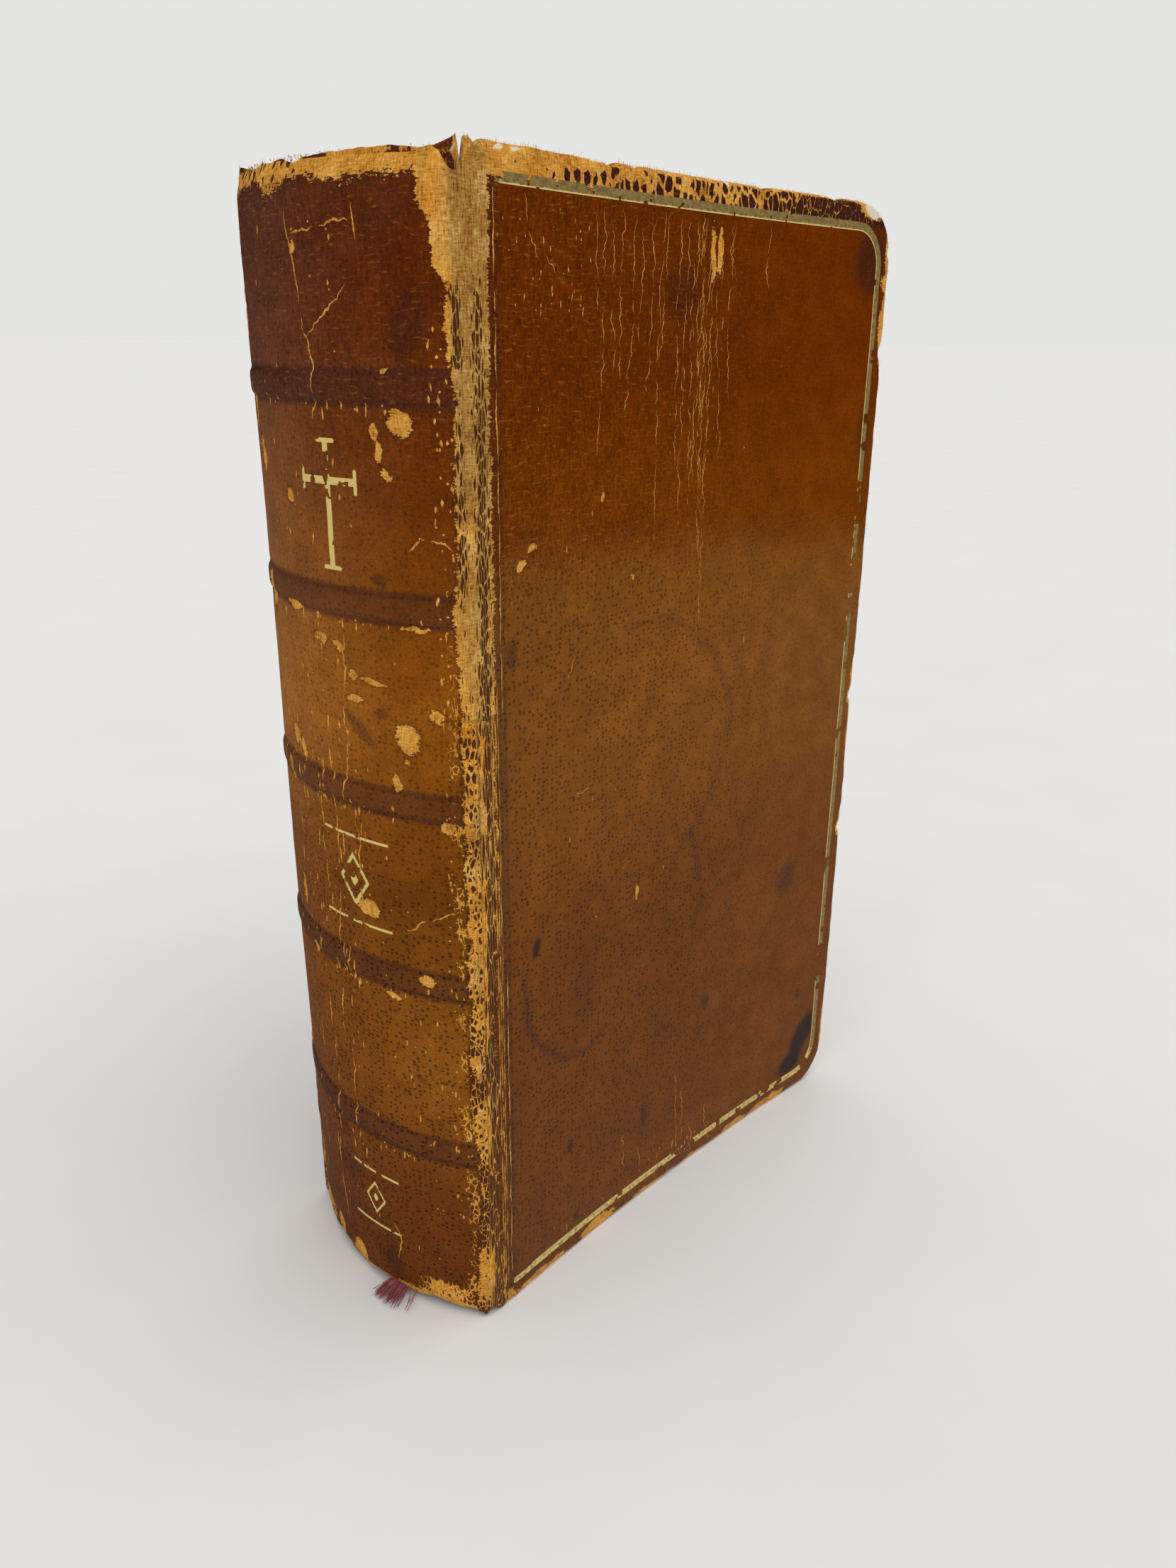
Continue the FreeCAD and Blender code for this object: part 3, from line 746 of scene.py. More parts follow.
def strands(u, v, lean_u, lean_v, length, seed):
    """Loose fibres standing from places of the sheet, each a thin tapered three-sided strand."""
    rng = np.random.default_rng(seed)
    curl_u = rng.normal(0, 0.35, len(u))
    curl_v = rng.normal(0, 0.25, len(u))
    root_depth = relief(u, v) + 0.15
    points = []
    for ring in (0.0, 0.4, 0.75, 1.0):
        along_u = u + length * ring * (lean_u + curl_u * ring)
        along_v = v + length * ring * (lean_v + curl_v * ring)
        middle = on_sheet(along_u, along_v, root_depth - STRAND_LIFT * length * ring)
        thick = STRAND_RADIUS * (1.0 - 0.8 * ring)
        for angle in np.radians((0, 120, 240)):
            corner = np.array([math.cos(angle), math.sin(angle), math.cos(angle + 1)])
            points.append(middle + thick * corner)
    points = np.stack(points, 1)
    corners = np.arange(points.shape[1]).reshape(-1, 3)
    follow = np.roll(corners, -1, 1)
    faces = np.stack([corners[:-1], follow[:-1], follow[1:], corners[1:]], -1).reshape(-1, 4)
    all_faces = np.arange(len(u))[:, None, None] * points.shape[1] + faces
    fields = sheet_fields(np.repeat(u, points.shape[1]), np.repeat(v, points.shape[1]))
    fields["wear"] = np.full(points.shape[0] * points.shape[1], 0.95)
    return {"points": points.reshape(-1, 3), "faces": all_faces.reshape(-1, 4), "fields": fields}


# ---------------------------------------------------------------- cracks, scratches and slivers

# Cracks and scratches on the spine and the front cover, each a line of (u, v) points.
SPINE_CRACKS = [
    [
        (-25.9, 161), (-24.7, 157), (-24.4, 154), (-23.7, 148.5), (-21.7, 143.5), (-21.9, 139),
        (-22.7, 136.5),
    ],
    [(-24.7, 158.5), (-20.0, 158.8), (-16.4, 159.5), (-13.2, 159.4)],
    [(-13.6, 161.4), (-13.4, 158), (-13.0, 156.6)],
    [(-22.9, 147.0), (-20.4, 148.5), (-18.2, 150.0), (-14.4, 153.5)],
    [(-7.7, 121.5), (-6.2, 123.5), (-3.9, 123.0), (-1.9, 122.0)],
    [(-19.4, 110), (-19.6, 104), (-20.4, 98.5), (-20.2, 92.5), (-21.0, 88), (-21.9, 84)],
    [(-27.8, 85), (-27.4, 81), (-27.8, 77), (-26.8, 70)],
    [(-23.9, 86), (-23.7, 81), (-24.0, 77)],
    [(-19.4, 83), (-19.0, 80), (-19.2, 74)],
    [(-24.2, 71), (-24.6, 66), (-25.2, 61)],
    [(-22.4, 62), (-22.6, 56)],
    [(-10.9, 67.5), (-8.7, 69.0), (-3.2, 72.0)],
    [(-29.7, 52), (-29.5, 45)],
    [(-25.4, 54), (-25.6, 46)],
    [(-33.9, 44), (-33.8, 38)],
    [(-28.9, 45), (-28.6, 36), (-29.0, 29)],
    [(-23.7, 42), (-23.9, 34), (-23.6, 27)],
    [(-31.0, 24), (-30.4, 14), (-28.8, 8)],
    [(-17.0, 14), (-15.2, 11), (-16.4, 7)],
]
COVER_CRACKS = [
    [(11.0, 163), (11.6, 158.6), (13.2, 155.6)],
    [(14.2, 156.2), (16.8, 154.4)],
    [(54.3, 163), (54.0, 159), (55.2, 155)],
    [(62.8, 162.6), (62.4, 158), (63.4, 153.6)],
    [(18.3, 102.0), (20.3, 105.0)],
    [(20.3, 83.5), (24.1, 84.0)],
    [(48.1, 22), (48.4, 14), (48.8, 4)],
    [(50.0, 18), (50.4, 7)],
    [(33.1, 16.5), (33.8, 9)],
    [(37.8, 12.0), (38.4, 5)],
    [(52.6, 8), (53.4, 2)],
    [(57.0, 11), (57.8, 3)],
]

# Boxes of small slivers: how many, low corner, high corner, longest.
SPINE_SLIVERS = [
    (110, (-42, 10), (-20, 112), 2.6),
    (70, (-36, 60), (-18, 98), 3.0),
    (60, (-20, 6), (-3, 118), 1.4),
    (24, (-38, 120), (-16, 160), 1.4),
    (110, (-4.4, 20), (-1.6, 150), 1.1),
]
COVER_SLIVERS = [
    (16, (8, 60), (70, 140), 1.0),
    (40, (6, 150), (24, 163), 0.8),
    (24, (40, 130), (54, 150), 1.6),
    (30, (15, 2), (60, 8), 1.8),
]


def hanging_cracks(rng):
    """Fine cracks that run down from the head line, where the cover has been bent."""
    lines = []
    starts = np.concatenate([np.arange(24.0, 55.0, 2.0), rng.uniform(45.5, 51.5, 5)])
    for start in starts:
        u = start + rng.normal(0, 0.3)
        bottom = rng.uniform(124, 156) - 12 * bump(start, 48.0, 5.0)
        v = rng.uniform(160.5, 163.0)
        while v > bottom:
            length = rng.uniform(6.0, 22.0)
            lean = rng.normal(0, 0.05)
            lines.append([(u, v), (u + lean * length, v - length)])
            u += lean * length
            v -= length + rng.uniform(0.3, 3.0)
    return lines


def slivers(rng, boxes):
    """Small upright slivers where the surface has come away, scattered within boxes of sheet places."""
    lines = []
    for count, low, high, longest in boxes:
        for _ in range(count):
            u = rng.uniform(low[0], high[0])
            v = rng.uniform(low[1], high[1])
            length = 0.25 + longest * rng.uniform() ** 2.5
            lines.append([(u, v), (u + rng.normal(0, 0.12) * length, v - length)])
    return lines


def wandering(points, rng, wander):
    """Closely spaced places along a drawn line that doesn't run quite straight."""
    corners = np.array(points, float)
    at_corners = np.concatenate([[0], np.cumsum(np.hypot(*np.diff(corners, axis=0).T))])
    count = max(int(at_corners[-1] / 0.25), 4)
    along = np.linspace(0, at_corners[-1], count)
    u = np.interp(along, at_corners, corners[:, 0])
    v = np.interp(along, at_corners, corners[:, 1])
    sway = wander * np.convolve(rng.normal(0, 1, count + 8), np.ones(9) / 3, "valid")
    sway = sway + 0.25 * wander * np.convolve(rng.normal(0, 1, count + 2), np.ones(3), "valid")
    across_u, across_v = crosswise(u, v)
    return u + sway * across_u, v + sway * across_v


def crosswise(u, v):
    """Unit directions across a line of places."""
    along_u = np.gradient(u)
    along_v = np.gradient(v)
    length = np.hypot(along_u, along_v) + 1e-9
    return along_v / length, -along_u / length


def crack_runs(lines, rng, half_width, wander, broken):
    """Thin strips of sheet places along drawn lines, each line broken into uneven runs."""
    runs = []
    for points in lines:
        u, v = wandering(points, rng, wander)
        start = 0
        while start < len(u) - 3:
            stop = min(start + rng.integers(10, 44), len(u)) if broken else len(u)
            runs.append(crack_run(u[start:stop], v[start:stop], rng, half_width))
            start = stop + rng.integers(1, 4)
    return runs


def crack_run(u, v, rng, half_width):
    """One unbroken run of a crack, pointed at both ends and uneven in width."""
    across_u, across_v = crosswise(u, v)
    ends = np.sin(np.linspace(0.15, math.pi - 0.15, len(u)))
    half = half_width * ends * rng.uniform(0.55, 1.5, len(u))
    sides = np.array([-1.0, 0.0, 1.0])[:, None]
    return u + sides * half * across_u, v + sides * half * across_v


def crack_part(runs, pale):
    """Bare strips lying just proud of the leather's outside."""
    strips = joined([grid_part(flat_place(u, v), {}) for u, v in runs])
    u, v, _ = strips["points"].T
    fields = sheet_fields(u, v)
    fields["wear"] = np.full(u.shape, 1.0)
    fields["lace"] = np.zeros(u.shape)
    fields["pale"] = np.full(u.shape, pale)
    return {"points": on_sheet(u, v, relief(u, v) - 0.03), "faces": strips["faces"], "fields": fields}


def spine_cracks():
    """The spine's cracks, its slivers, and the specks beside its front joint."""
    rng = np.random.default_rng(151)
    long_runs = crack_runs(SPINE_CRACKS, rng, 0.13, 0.16, True)
    under_bands = [(12, (-34, height - 2.6), (-10, height - 1.6), 1.6) for height in BAND_HEIGHTS]
    small_runs = crack_runs(slivers(rng, SPINE_SLIVERS + under_bands), rng, 0.16, 0.05, False)
    return [crack_part(long_runs, 0.85), crack_part(small_runs, 0.9)]


def cover_cracks():
    """The front cover's cracks, the pale lines beside its joint, and scattered slivers."""
    rng = np.random.default_rng(152)
    long_runs = crack_runs(COVER_CRACKS + hanging_cracks(rng), rng, 0.058, 0.2, True)
    joint_lines = [[(line_u, high), (line_u, low)] for line_u, high, low in JOINT_SCRATCHES]
    long_runs += crack_runs(joint_lines, rng, 0.11, 0.05, True)
    small_runs = crack_runs(slivers(rng, COVER_SLIVERS), rng, 0.09, 0.04, False)
    return [crack_part(long_runs, 0.8), crack_part(small_runs, 0.85)]


# Bites out of the edges of the front cover only, both covers and the spine: place, half-width, depth.
FRONT_BITES = {
    "head": [(0.7, 0.7, 3.6), (3.2, 1.4, 1.0)],
    "fore": [(145.0, 2.2, 0.8), (84.0, 2.0, 0.7)],
    "tail": [(1.0, 2.0, 1.6)],
}
BITES = {
    "head": [(27.0, 2.0, 0.5), (61.0, 1.4, 0.4), (79.0, 2.4, 0.5)],
    "fore": [(57.0, 1.6, 0.7), (160.5, 1.2, 0.5)],
    "tail": [(46.0, 3.0, 0.4), (70.0, 2.0, 0.3)],
}
SPINE_HEAD_BITES = [(-24.0, 3.0, 0.5), (-0.4, 3.0, 2.6), (-36.0, 4.0, 0.5)]
SPINE_TAIL_BITES = [(-33.0, 4.0, 1.0), (-21.0, 3.0, 0.9), (-9.0, 4.0, 0.8)]
BITE_FADE = 7.0
COVER_TURN_IN = 12.0
SPINE_TURN_IN = 5.0


def bitten(along, bites, seed, roughness=0.12):
    """How far the edge has worn back at these places along it."""
    depth = roughness * (1 + layered_noise(along, 0 * along, 2.5, seed))
    for middle, half_width, bite in bites:
        depth = depth + bite * bump(along, middle, half_width)
    return depth


def cover_grid(step, bites):
    """Distance from the joint and height of the points of a cover, with round corners and bitten edges."""
    turns = np.linspace(0, math.pi / 2, int(CORNER_RADIUS / step) + 4)[:-1]
    corner_v = CORNER_RADIUS * (1 - np.cos(turns))
    corner_lack = CORNER_RADIUS * (1 - np.sin(turns))
    middle_v = np.linspace(CORNER_RADIUS, HEIGHT - CORNER_RADIUS, int((HEIGHT - 2 * CORNER_RADIUS) / step))
    v_rows = np.concatenate([corner_v, middle_v, HEIGHT - corner_v[::-1]])
    lack = np.concatenate([corner_lack, np.zeros(len(middle_v)), corner_lack[::-1]])
    shares = fine_ends(0, COVER_ACROSS, step, step / 2, 2.0) / COVER_ACROSS
    width = COVER_ACROSS - lack - bitten(v_rows, bites["fore"], 91)
    across = shares[None, :] * width[:, None]
    v = np.repeat(v_rows[:, None], len(shares), 1)
    v = v - bitten(across, bites["head"], 92) * step_between(v, HEIGHT - BITE_FADE, HEIGHT)
    v = v + bitten(across, bites["tail"], 93) * step_between(-v, -BITE_FADE, 0)
    return across, v


def outer_edge(u, v, outward):
    """A cover's edge line from head to tail round the fore-edge, and its unit directions into the cover."""
    edge_u = np.concatenate([u[-1, :], u[-2::-1, -1], u[0, -2::-1]])
    edge_v = np.concatenate([v[-1, :], v[-2::-1, -1], v[0, -2::-1]])
    smooth = np.ones(9) / 9
    slopes = [np.pad(np.gradient(places), 4, "edge") for places in (edge_u, edge_v)]
    along_u, along_v = [np.convolve(slope, smooth, "valid") for slope in slopes]
    length = np.hypot(along_u, along_v)
    return edge_u, edge_v, outward * along_v / length, -outward * along_u / length


def cover_leather_part(side, step):
    """The leather of one cover with its turned edges and loose fibres."""
    front = side == "front"
    bites = {edge: (FRONT_BITES[edge] if front else []) + BITES[edge] for edge in BITES}
    across, v = cover_grid(step, bites)
    u = across if front else -SPINE_ACROSS - across
    surface = leather_grid(u, v, not front)
    round_edge(surface, u, v)
    edge_u, edge_v, inward_u, inward_v = outer_edge(u, v, 1.0 if front else -1.0)
    from_joint = np.abs(edge_u + (0 if front else SPINE_ACROSS))
    thickness = LEATHER + (COVER_DEPTH - LEATHER) * step_between(from_joint, 2.4, 4.4)
    turned = turned_edge(edge_u, edge_v, inward_u, inward_v, thickness, COVER_TURN_IN, not front)
    fibres = edge_fibres(edge_u, edge_v, inward_u, inward_v, 97 if front else 98)
    return joined([surface, turned, joint_inside(front), fibres, *(cover_cracks() if front else [])])


def round_edge(surface, u, v):
    """Rolls the outermost millimetre of a cover's outside towards its edge."""
    points = surface["points"].reshape(*u.shape, 3)
    to_edge = np.minimum(np.abs(u[:, -1:] - u), np.minimum(v - v[:1], v[-1:] - v))
    over_board = np.abs(mirrored_to_front(u)) > 3.4
    rounding = ROUNDING * np.where(over_board, COVER_DEPTH, LEATHER)
    short = np.clip(rounding - to_edge, 0, None)
    drop = rounding - np.sqrt(np.clip(rounding**2 - short**2, 0, None))
    points += on_sheet(u, v, drop) - on_sheet(u, v, 0)


def joint_inside(front):
    """The inner face of the thin leather between the spine and the board."""
    across, v = np.meshgrid(np.linspace(0, 4.0, 9), np.linspace(12, HEIGHT - 12, 40))
    u = across if front else -SPINE_ACROSS - across
    fields = sheet_fields(u, v)
    fields["wear"] = 0 * u + 0.25
    return grid_part(on_sheet(u, v, LEATHER), fields, front)


def edge_fibres(edge_u, edge_v, inward_u, inward_v, seed):
    """Fuzz along the worn edges of a cover, thickest at its head."""
    rng = np.random.default_rng(seed)
    pick = rng.integers(0, len(edge_u), 4200)
    keep = rng.uniform(size=len(pick)) < np.where(edge_v[pick] > HEIGHT - 6, 0.9, 0.08)
    pick = pick[keep]
    inset = rng.uniform(0, 0.8, len(pick))
    u = edge_u[pick] + inset * inward_u[pick]
    v = edge_v[pick] + inset * inward_v[pick]
    length = 0.12 + 0.45 * rng.uniform(size=len(pick)) ** 2
    return strands(u, v, -0.7 * inward_u[pick], -0.7 * inward_v[pick], length, seed)


def spine_fibres():
    """Fuzz at the worn head and tail of the spine."""
    count = 1500
    rng = np.random.default_rng(103)
    u = rng.uniform(-SPINE_ACROSS, 0, count)
    at_head = rng.uniform(size=count) < 0.85
    from_head = rng.uniform(0.2, 2.4, count)
    from_tail = rng.uniform(0.2, 1.6, count)
    v = np.where(at_head, SPINE_HEAD_Z - from_head, VISIBLE_TAIL_Z + from_tail)
    lean = rng.normal(0, 0.3, count)
    return strands(u, v, lean, np.where(at_head, 0.8, -0.5), rng.uniform(0.1, 0.36, count), 104)


def spine_leather_part():
    """The leather of the spine with its worn ends turned inwards."""
    across = np.linspace(-SPINE_ACROSS - 0.4, 0.4, 144)
    u, v = np.meshgrid(across, fine_ends(VISIBLE_TAIL_Z, SPINE_HEAD_Z, 0.32, 0.16, 3.0))
    head = bitten(u, SPINE_HEAD_BITES, 101, 0.3)
    tail = bitten(u, SPINE_TAIL_BITES, 102, 0.35)
    v = v - head * step_between(v, SPINE_HEAD_Z - BITE_FADE, SPINE_HEAD_Z)
    v = v + tail * step_between(-v, -VISIBLE_TAIL_Z - BITE_FADE, -VISIBLE_TAIL_Z)
    surface = leather_grid(u, v, False)
    half = SPINE_ACROSS / 2
    under_covers = 0.12 * step_between(np.abs(u + half), half - 0.1, half + 0.3)
    surface["points"] += (on_sheet(u, v, under_covers) - on_sheet(u, v, 0)).reshape(-1, 3)
    level = 0 * across
    head_edge = turned_edge(u[-1], v[-1], level, level - 1, level + LEATHER, SPINE_TURN_IN, False)
    tail_edge = turned_edge(u[0], v[0], level, level + 1, level + LEATHER, SPINE_TURN_IN, True)
    return joined([surface, head_edge, tail_edge, spine_fibres(), *spine_cracks()])


# ---------------------------------------------------------------- materials

# Suede from its hollows to its raised fibres: dull orange, straw, bright orange. The darker rows for the
# hollows and the brighter rows for raised fibres are partly the suede's own colour and partly painted shade
# and painted highlight.
SUEDE_TONES_WITH_SHADE = [
    ((0.180, 0.048, 0.003), (0.22, 0.098, 0.016), (0.42, 0.145, 0.012)),
    ((0.330, 0.108, 0.008), (0.43, 0.225, 0.048), (0.70, 0.300, 0.036)),
    ((0.540, 0.235, 0.030), (0.70, 0.445, 0.155), (0.88, 0.490, 0.105)),
]


class Value:
    """One output of a node. Plus, minus and times make further nodes."""

    def __init__(self, tree, socket):
        self.tree = tree
        self.socket = socket

    def __add__(self, other):
        return self.tree.math("ADD", self, other)

    def __sub__(self, other):
        return self.tree.math("SUBTRACT", self, other)

    def __rsub__(self, other):
        return self.tree.math("SUBTRACT", other, self)

    def __mul__(self, other):
        return self.tree.math("MULTIPLY", self, other)


class Tree:
    """One material's nodes, with short calls for the kinds used here."""

    def __init__(self, name):
        self.material = bpy.data.materials.new(name)
        self.material.use_nodes = True
        self.tree = self.material.node_tree
        self.shader = self.tree.nodes["Principled BSDF"]

    def put(self, value, socket):
        if isinstance(value, Value):
            self.tree.links.new(value.socket, socket)
        else:
            socket.default_value = value

    def node(self, kind, values=(), output=0, **settings):
        made = self.tree.nodes.new(kind)
        for setting, value in settings.items():
            setattr(made, setting, value)
        for socket, value in dict(values).items():
            self.put(value, made.inputs[socket])
        return Value(self, made.outputs[output])

    def field(self, name, output="Fac"):
        return self.node("ShaderNodeAttribute", output=output, attribute_name=name)

    def math(self, operation, first, second=0.0):
        return self.node("ShaderNodeMath", {0: first, 1: second}, operation=operation)

    def vector(self, operation, first, second):
        return self.node("ShaderNodeVectorMath", {0: first, 1: second}, operation=operation)

    def stretch(self, vector, scale):
        return self.vector("MULTIPLY", vector, scale)

    def noise(self, vector, size, detail=3.0, roughness=0.55, output=0):
        values = {"Vector": vector, "Scale": 1 / size, "Detail": detail, "Roughness": roughness}
        return self.node("ShaderNodeTexNoise", values, output)

    def stretched_noise(self, vector, scale, *settings):
        return self.noise(self.stretch(vector, scale), *settings)

    def cells(self, vector, size, feature="F1", randomness=1.0):
        values = {"Vector": vector, "Scale": 1 / size, "Randomness": randomness}
        return self.node("ShaderNodeTexVoronoi", values, feature=feature)

    def mixed_value(self, share, first, second):
        return self.node("ShaderNodeMix", {0: share, 2: first, 3: second})

    def ramp(self, value, low, high, start=0.0, end=1.0, kind="SMOOTHSTEP"):
        values = {"Value": value, "From Min": low, "From Max": high, "To Min": start, "To Max": end}
        return self.node("ShaderNodeMapRange", values, interpolation_type=kind)

    def mix(self, share, first, second):
        return self.node("ShaderNodeMix", {0: share, 6: first, 7: second}, 2, data_type="RGBA")

    def bump(self, height, distance):
        return self.node("ShaderNodeBump", {"Height": height, "Distance": distance, "Strength": 1.0})

    def finish(self, **sockets):
        for socket, value in sockets.items():
            self.put(value, self.shader.inputs[socket.replace("_", " ")])
        return self.material


def rgb(red, green, blue):
    return (red, green, blue, 1.0)


DASH_COLOUR = rgb(0.40, 0.14, 0.010)
# Painted shade along the torn edge of the grain round bare places.
TORN_EDGE_SHADE_COLOUR = rgb(0.055, 0.014, 0.004)
SUEDE_STAIN_COLOUR = rgb(0.10, 0.035, 0.012)
LEFT_OVER_COLOUR = rgb(0.080, 0.024, 0.006)
PEBBLE_SIZE = 0.6
PORE_PITCH = 0.8


def warped(tree, vector, size, amount):
    """The same places pushed about a little, so that cells don't look drawn with a ruler."""
    push = tree.noise(vector, size, 2.0, output=1)
    centred = tree.vector("ADD", push, (-0.5, -0.5, -0.5))
    return tree.vector("ADD", vector, tree.stretch(centred, (amount,) * 3))


def flaked_places(tree, sheet):
    """How bare each place is, and the painted shade just outside bare places, along the torn edge of the
    grain.
    """
    coarse_edge = tree.noise(warped(tree, sheet, 2.0, 0.6), 1.3, 6.0, 0.7)
    woven_edge = tree.stretched_noise(sheet, (1.0, 2.4, 1.0), 0.7, 4.0, 0.65)
    ragged = coarse_edge * 0.6 + woven_edge * 0.6
    wear = tree.field("wear") + (ragged - 0.6)
    return tree.ramp(wear, 0.485, 0.515), tree.ramp(wear, 0.36, 0.47)


def laced_places(tree, sheet):
    """Cracks between islands of leather, and specks of leather left on bare places."""
    lace = tree.field("lace")
    islands_at = warped(tree, tree.field("lace_place", "Vector"), 0.8, 0.55)
    uneven = (tree.noise(sheet, 0.35, 3.0) - 0.5) * 0.12
    from_edge = tree.cells(islands_at, 1.0, "DISTANCE_TO_EDGE") + uneven
    cracks = tree.ramp(lace * 0.42 - from_edge, 0.0, 0.03) * tree.ramp(lace, 0.02, 0.06)
    specks = tree.ramp(from_edge - (lace * 0.62 + 0.60), 0.0, 0.03)
    return cracks, specks


def surface_colour(tree, sheet, creases, patchy, pores, torn_edge_shade):
    """The leather's colour with random patches of tone and ribs where the weave field is on, painted shade
    in the grain's creases and in the pores, and painted shade along torn edges round bare places.
    """
    weave = tree.field("weave")
    dashes = tree.ramp(tree.stretched_noise(sheet, (0.45, 1.9, 1.0), 0.75, 4.0, 0.6), 0.56, 0.68) * weave
    ribs = tree.stretched_noise(sheet, (2.2, 0.5, 1.0), 0.95, 3.0, 0.6)
    rib_shade = tree.mixed_value(weave, 1.0, tree.ramp(ribs, 0.38, 0.62, 0.74, 1.12))
    grain_shade = tree.ramp(creases, 0.0, 1.0, 0.84, 1.05)
    patch_shade = tree.ramp(patchy, 0.3, 0.7, 0.88, 1.10)
    # Painted shade: darker in the creases between pebbles and in the pores.
    shade = grain_shade * patch_shade * rib_shade * (1.0 - pores * 0.62)
    scaled = {0: tree.field("tone", "Color"), "Scale": shade}
    colour = tree.node("ShaderNodeVectorMath", scaled, operation="SCALE")
    colour = tree.mix(dashes * 0.55, colour, DASH_COLOUR)
    # Painted shade along torn edges round bare places.
    return tree.mix(torn_edge_shade * 0.55, colour, TORN_EDGE_SHADE_COLOUR)


def suede_colour(tree, sheet, fibres):
    """Bare suede: dull orange, changing to straw, bright orange and white board as the pale field grows."""
    pale = tree.field("pale")
    to_straw = tree.ramp(pale, 0.0, 0.5, kind="LINEAR")
    to_bright = tree.ramp(pale, 0.5, 1.0, kind="LINEAR")
    tones = []
    for dull, straw, bright in SUEDE_TONES_WITH_SHADE:
        tones.append(tree.mix(to_bright, tree.mix(to_straw, rgb(*dull), rgb(*straw)), rgb(*bright)))
    # Painted shade and highlight: darker where the fibre height is low, brighter where it is high, partly
    # the suede's own streaks.
    suede = tree.mix(tree.ramp(fibres, 0.40, 0.50), tones[0], tones[1])
    suede = tree.mix(tree.ramp(fibres, 0.50, 0.62), suede, tones[2])
    suede = tree.mix(tree.ramp(tree.noise(sheet, 0.9, 5.0, 0.7), 0.62, 0.70), suede, SUEDE_STAIN_COLOUR)
    # Exposed board, lighter where the fibre height is high: partly painted highlight.
    board = tree.mix(fibres, rgb(0.62, 0.50, 0.33), rgb(0.90, 0.84, 0.72))
    return tree.mix(tree.ramp(pale, 1.2, 1.5), suede, board)


def leather_material():
    """Goatskin with a pebbled glossy surface, creases and pores, and suede where the surface has gone."""
    tree = Tree("leather_worn")
    sheet = tree.field("sheet", "Vector")
    bent = warped(tree, sheet, 0.9, 0.35)
    pebbles = tree.cells(bent, PEBBLE_SIZE, "SMOOTH_F1")
    creases = tree.ramp(tree.cells(bent, PEBBLE_SIZE, "DISTANCE_TO_EDGE"), 0.0, 0.2)
    patchy = tree.noise(sheet, 5.0, 4.0)
    pore_place = tree.stretch(warped(tree, sheet, 1.2, 0.3), (0.85, 1.15, 1.0))
    pores = tree.ramp(tree.cells(pore_place, PORE_PITCH, randomness=0.55), 0.42, 0.20) * tree.field("pores")
    flaked, torn_edge_shade = flaked_places(tree, sheet)
    cracks, specks = laced_places(tree, sheet)
    bare = tree.math("MAXIMUM", flaked, cracks) * (1.0 - specks)
    surface = surface_colour(tree, sheet, creases, patchy, pores, torn_edge_shade)
    upright = tree.stretched_noise(sheet, (3.4, 0.6, 1.0), 0.9, 5.0, 0.7)
    level = tree.stretched_noise(sheet, (0.8, 3.6, 1.0), 0.9, 5.0, 0.7)
    fibres = (upright + level) * 0.5 + (patchy - 0.5) * 0.35
    left_over = tree.mix(specks, surface, LEFT_OVER_COLOUR)
    gloss = tree.field("gloss")
    height = (1.0 - pebbles) * 0.8 + creases * 0.4 + tree.noise(sheet, 0.16, 3.0) * 0.3 - pores * 0.9
    height = height * tree.mixed_value(gloss, 1.0, 0.2)
    roughness = tree.mixed_value(gloss, 0.55, tree.ramp(patchy, 0.3, 0.7, 0.09, 0.13))
    specular = tree.mixed_value(gloss, 0.05, 0.20)
    return tree.finish(
        Base_Color=tree.mix(bare, left_over, suede_colour(tree, sheet, fibres)),
        Roughness=tree.mixed_value(bare, roughness, 0.85),
        Normal=tree.bump(tree.mixed_value(bare, height, fibres * 2.4 - 2.6), 0.05 * MM),
        Specular_IOR_Level=tree.mixed_value(bare, specular, 0.08),
    )


def object_place(tree):
    """Places on a CAD node, in millimetres."""
    return tree.stretch(tree.node("ShaderNodeTexCoord", output=3), (1 / MM,) * 3)


def paper_material(name, light, dark, foxed):
    """Aged paper: soft cloudy tone, fine fibres and a few foxing spots."""
    tree = Tree(name)
    place = object_place(tree)
    cloud = tree.ramp(tree.noise(place, 30.0, 5.0), 0.3, 0.7)
    fibre = tree.stretched_noise(place, (0.4, 1.0, 1.0), 0.35, 4.0)
    foxing = tree.ramp(tree.noise(place, 2.6, 4.0, 0.6), 0.66, 0.74)
    colour = tree.mix(foxing * 0.5, tree.mix(cloud, rgb(*light), rgb(*dark)), rgb(*foxed))
    return tree.finish(Base_Color=colour, Roughness=0.8, Normal=tree.bump(fibre, 0.02 * MM))


def leaf_edge_material():
    """The trimmed edges of the leaves: faded red with rubbed gold over it, line by line."""
    tree = Tree("leaf_edges")
    place = object_place(tree)
    lines = tree.stretched_noise(place, (1.0, 6.0, 0.25), 1.2, 4.0, 0.6)
    rubbed = tree.ramp(tree.noise(place, 7.0, 5.0, 0.65), 0.42, 0.60)
    stain = tree.mix(tree.ramp(lines, 0.35, 0.65), rgb(0.30, 0.075, 0.040), rgb(0.50, 0.30, 0.17))
    gold = tree.mix(lines, rgb(0.46, 0.29, 0.09), rgb(0.66, 0.47, 0.20))
    return tree.finish(
        Base_Color=tree.mix(rubbed * 0.75, gold, stain),
        Roughness=tree.ramp(rubbed, 0.0, 1.0, 0.42, 0.7),
        Metallic=tree.ramp(rubbed, 0.0, 1.0, 0.55, 0.0),
        Normal=tree.bump(lines, 0.04 * MM),
    )


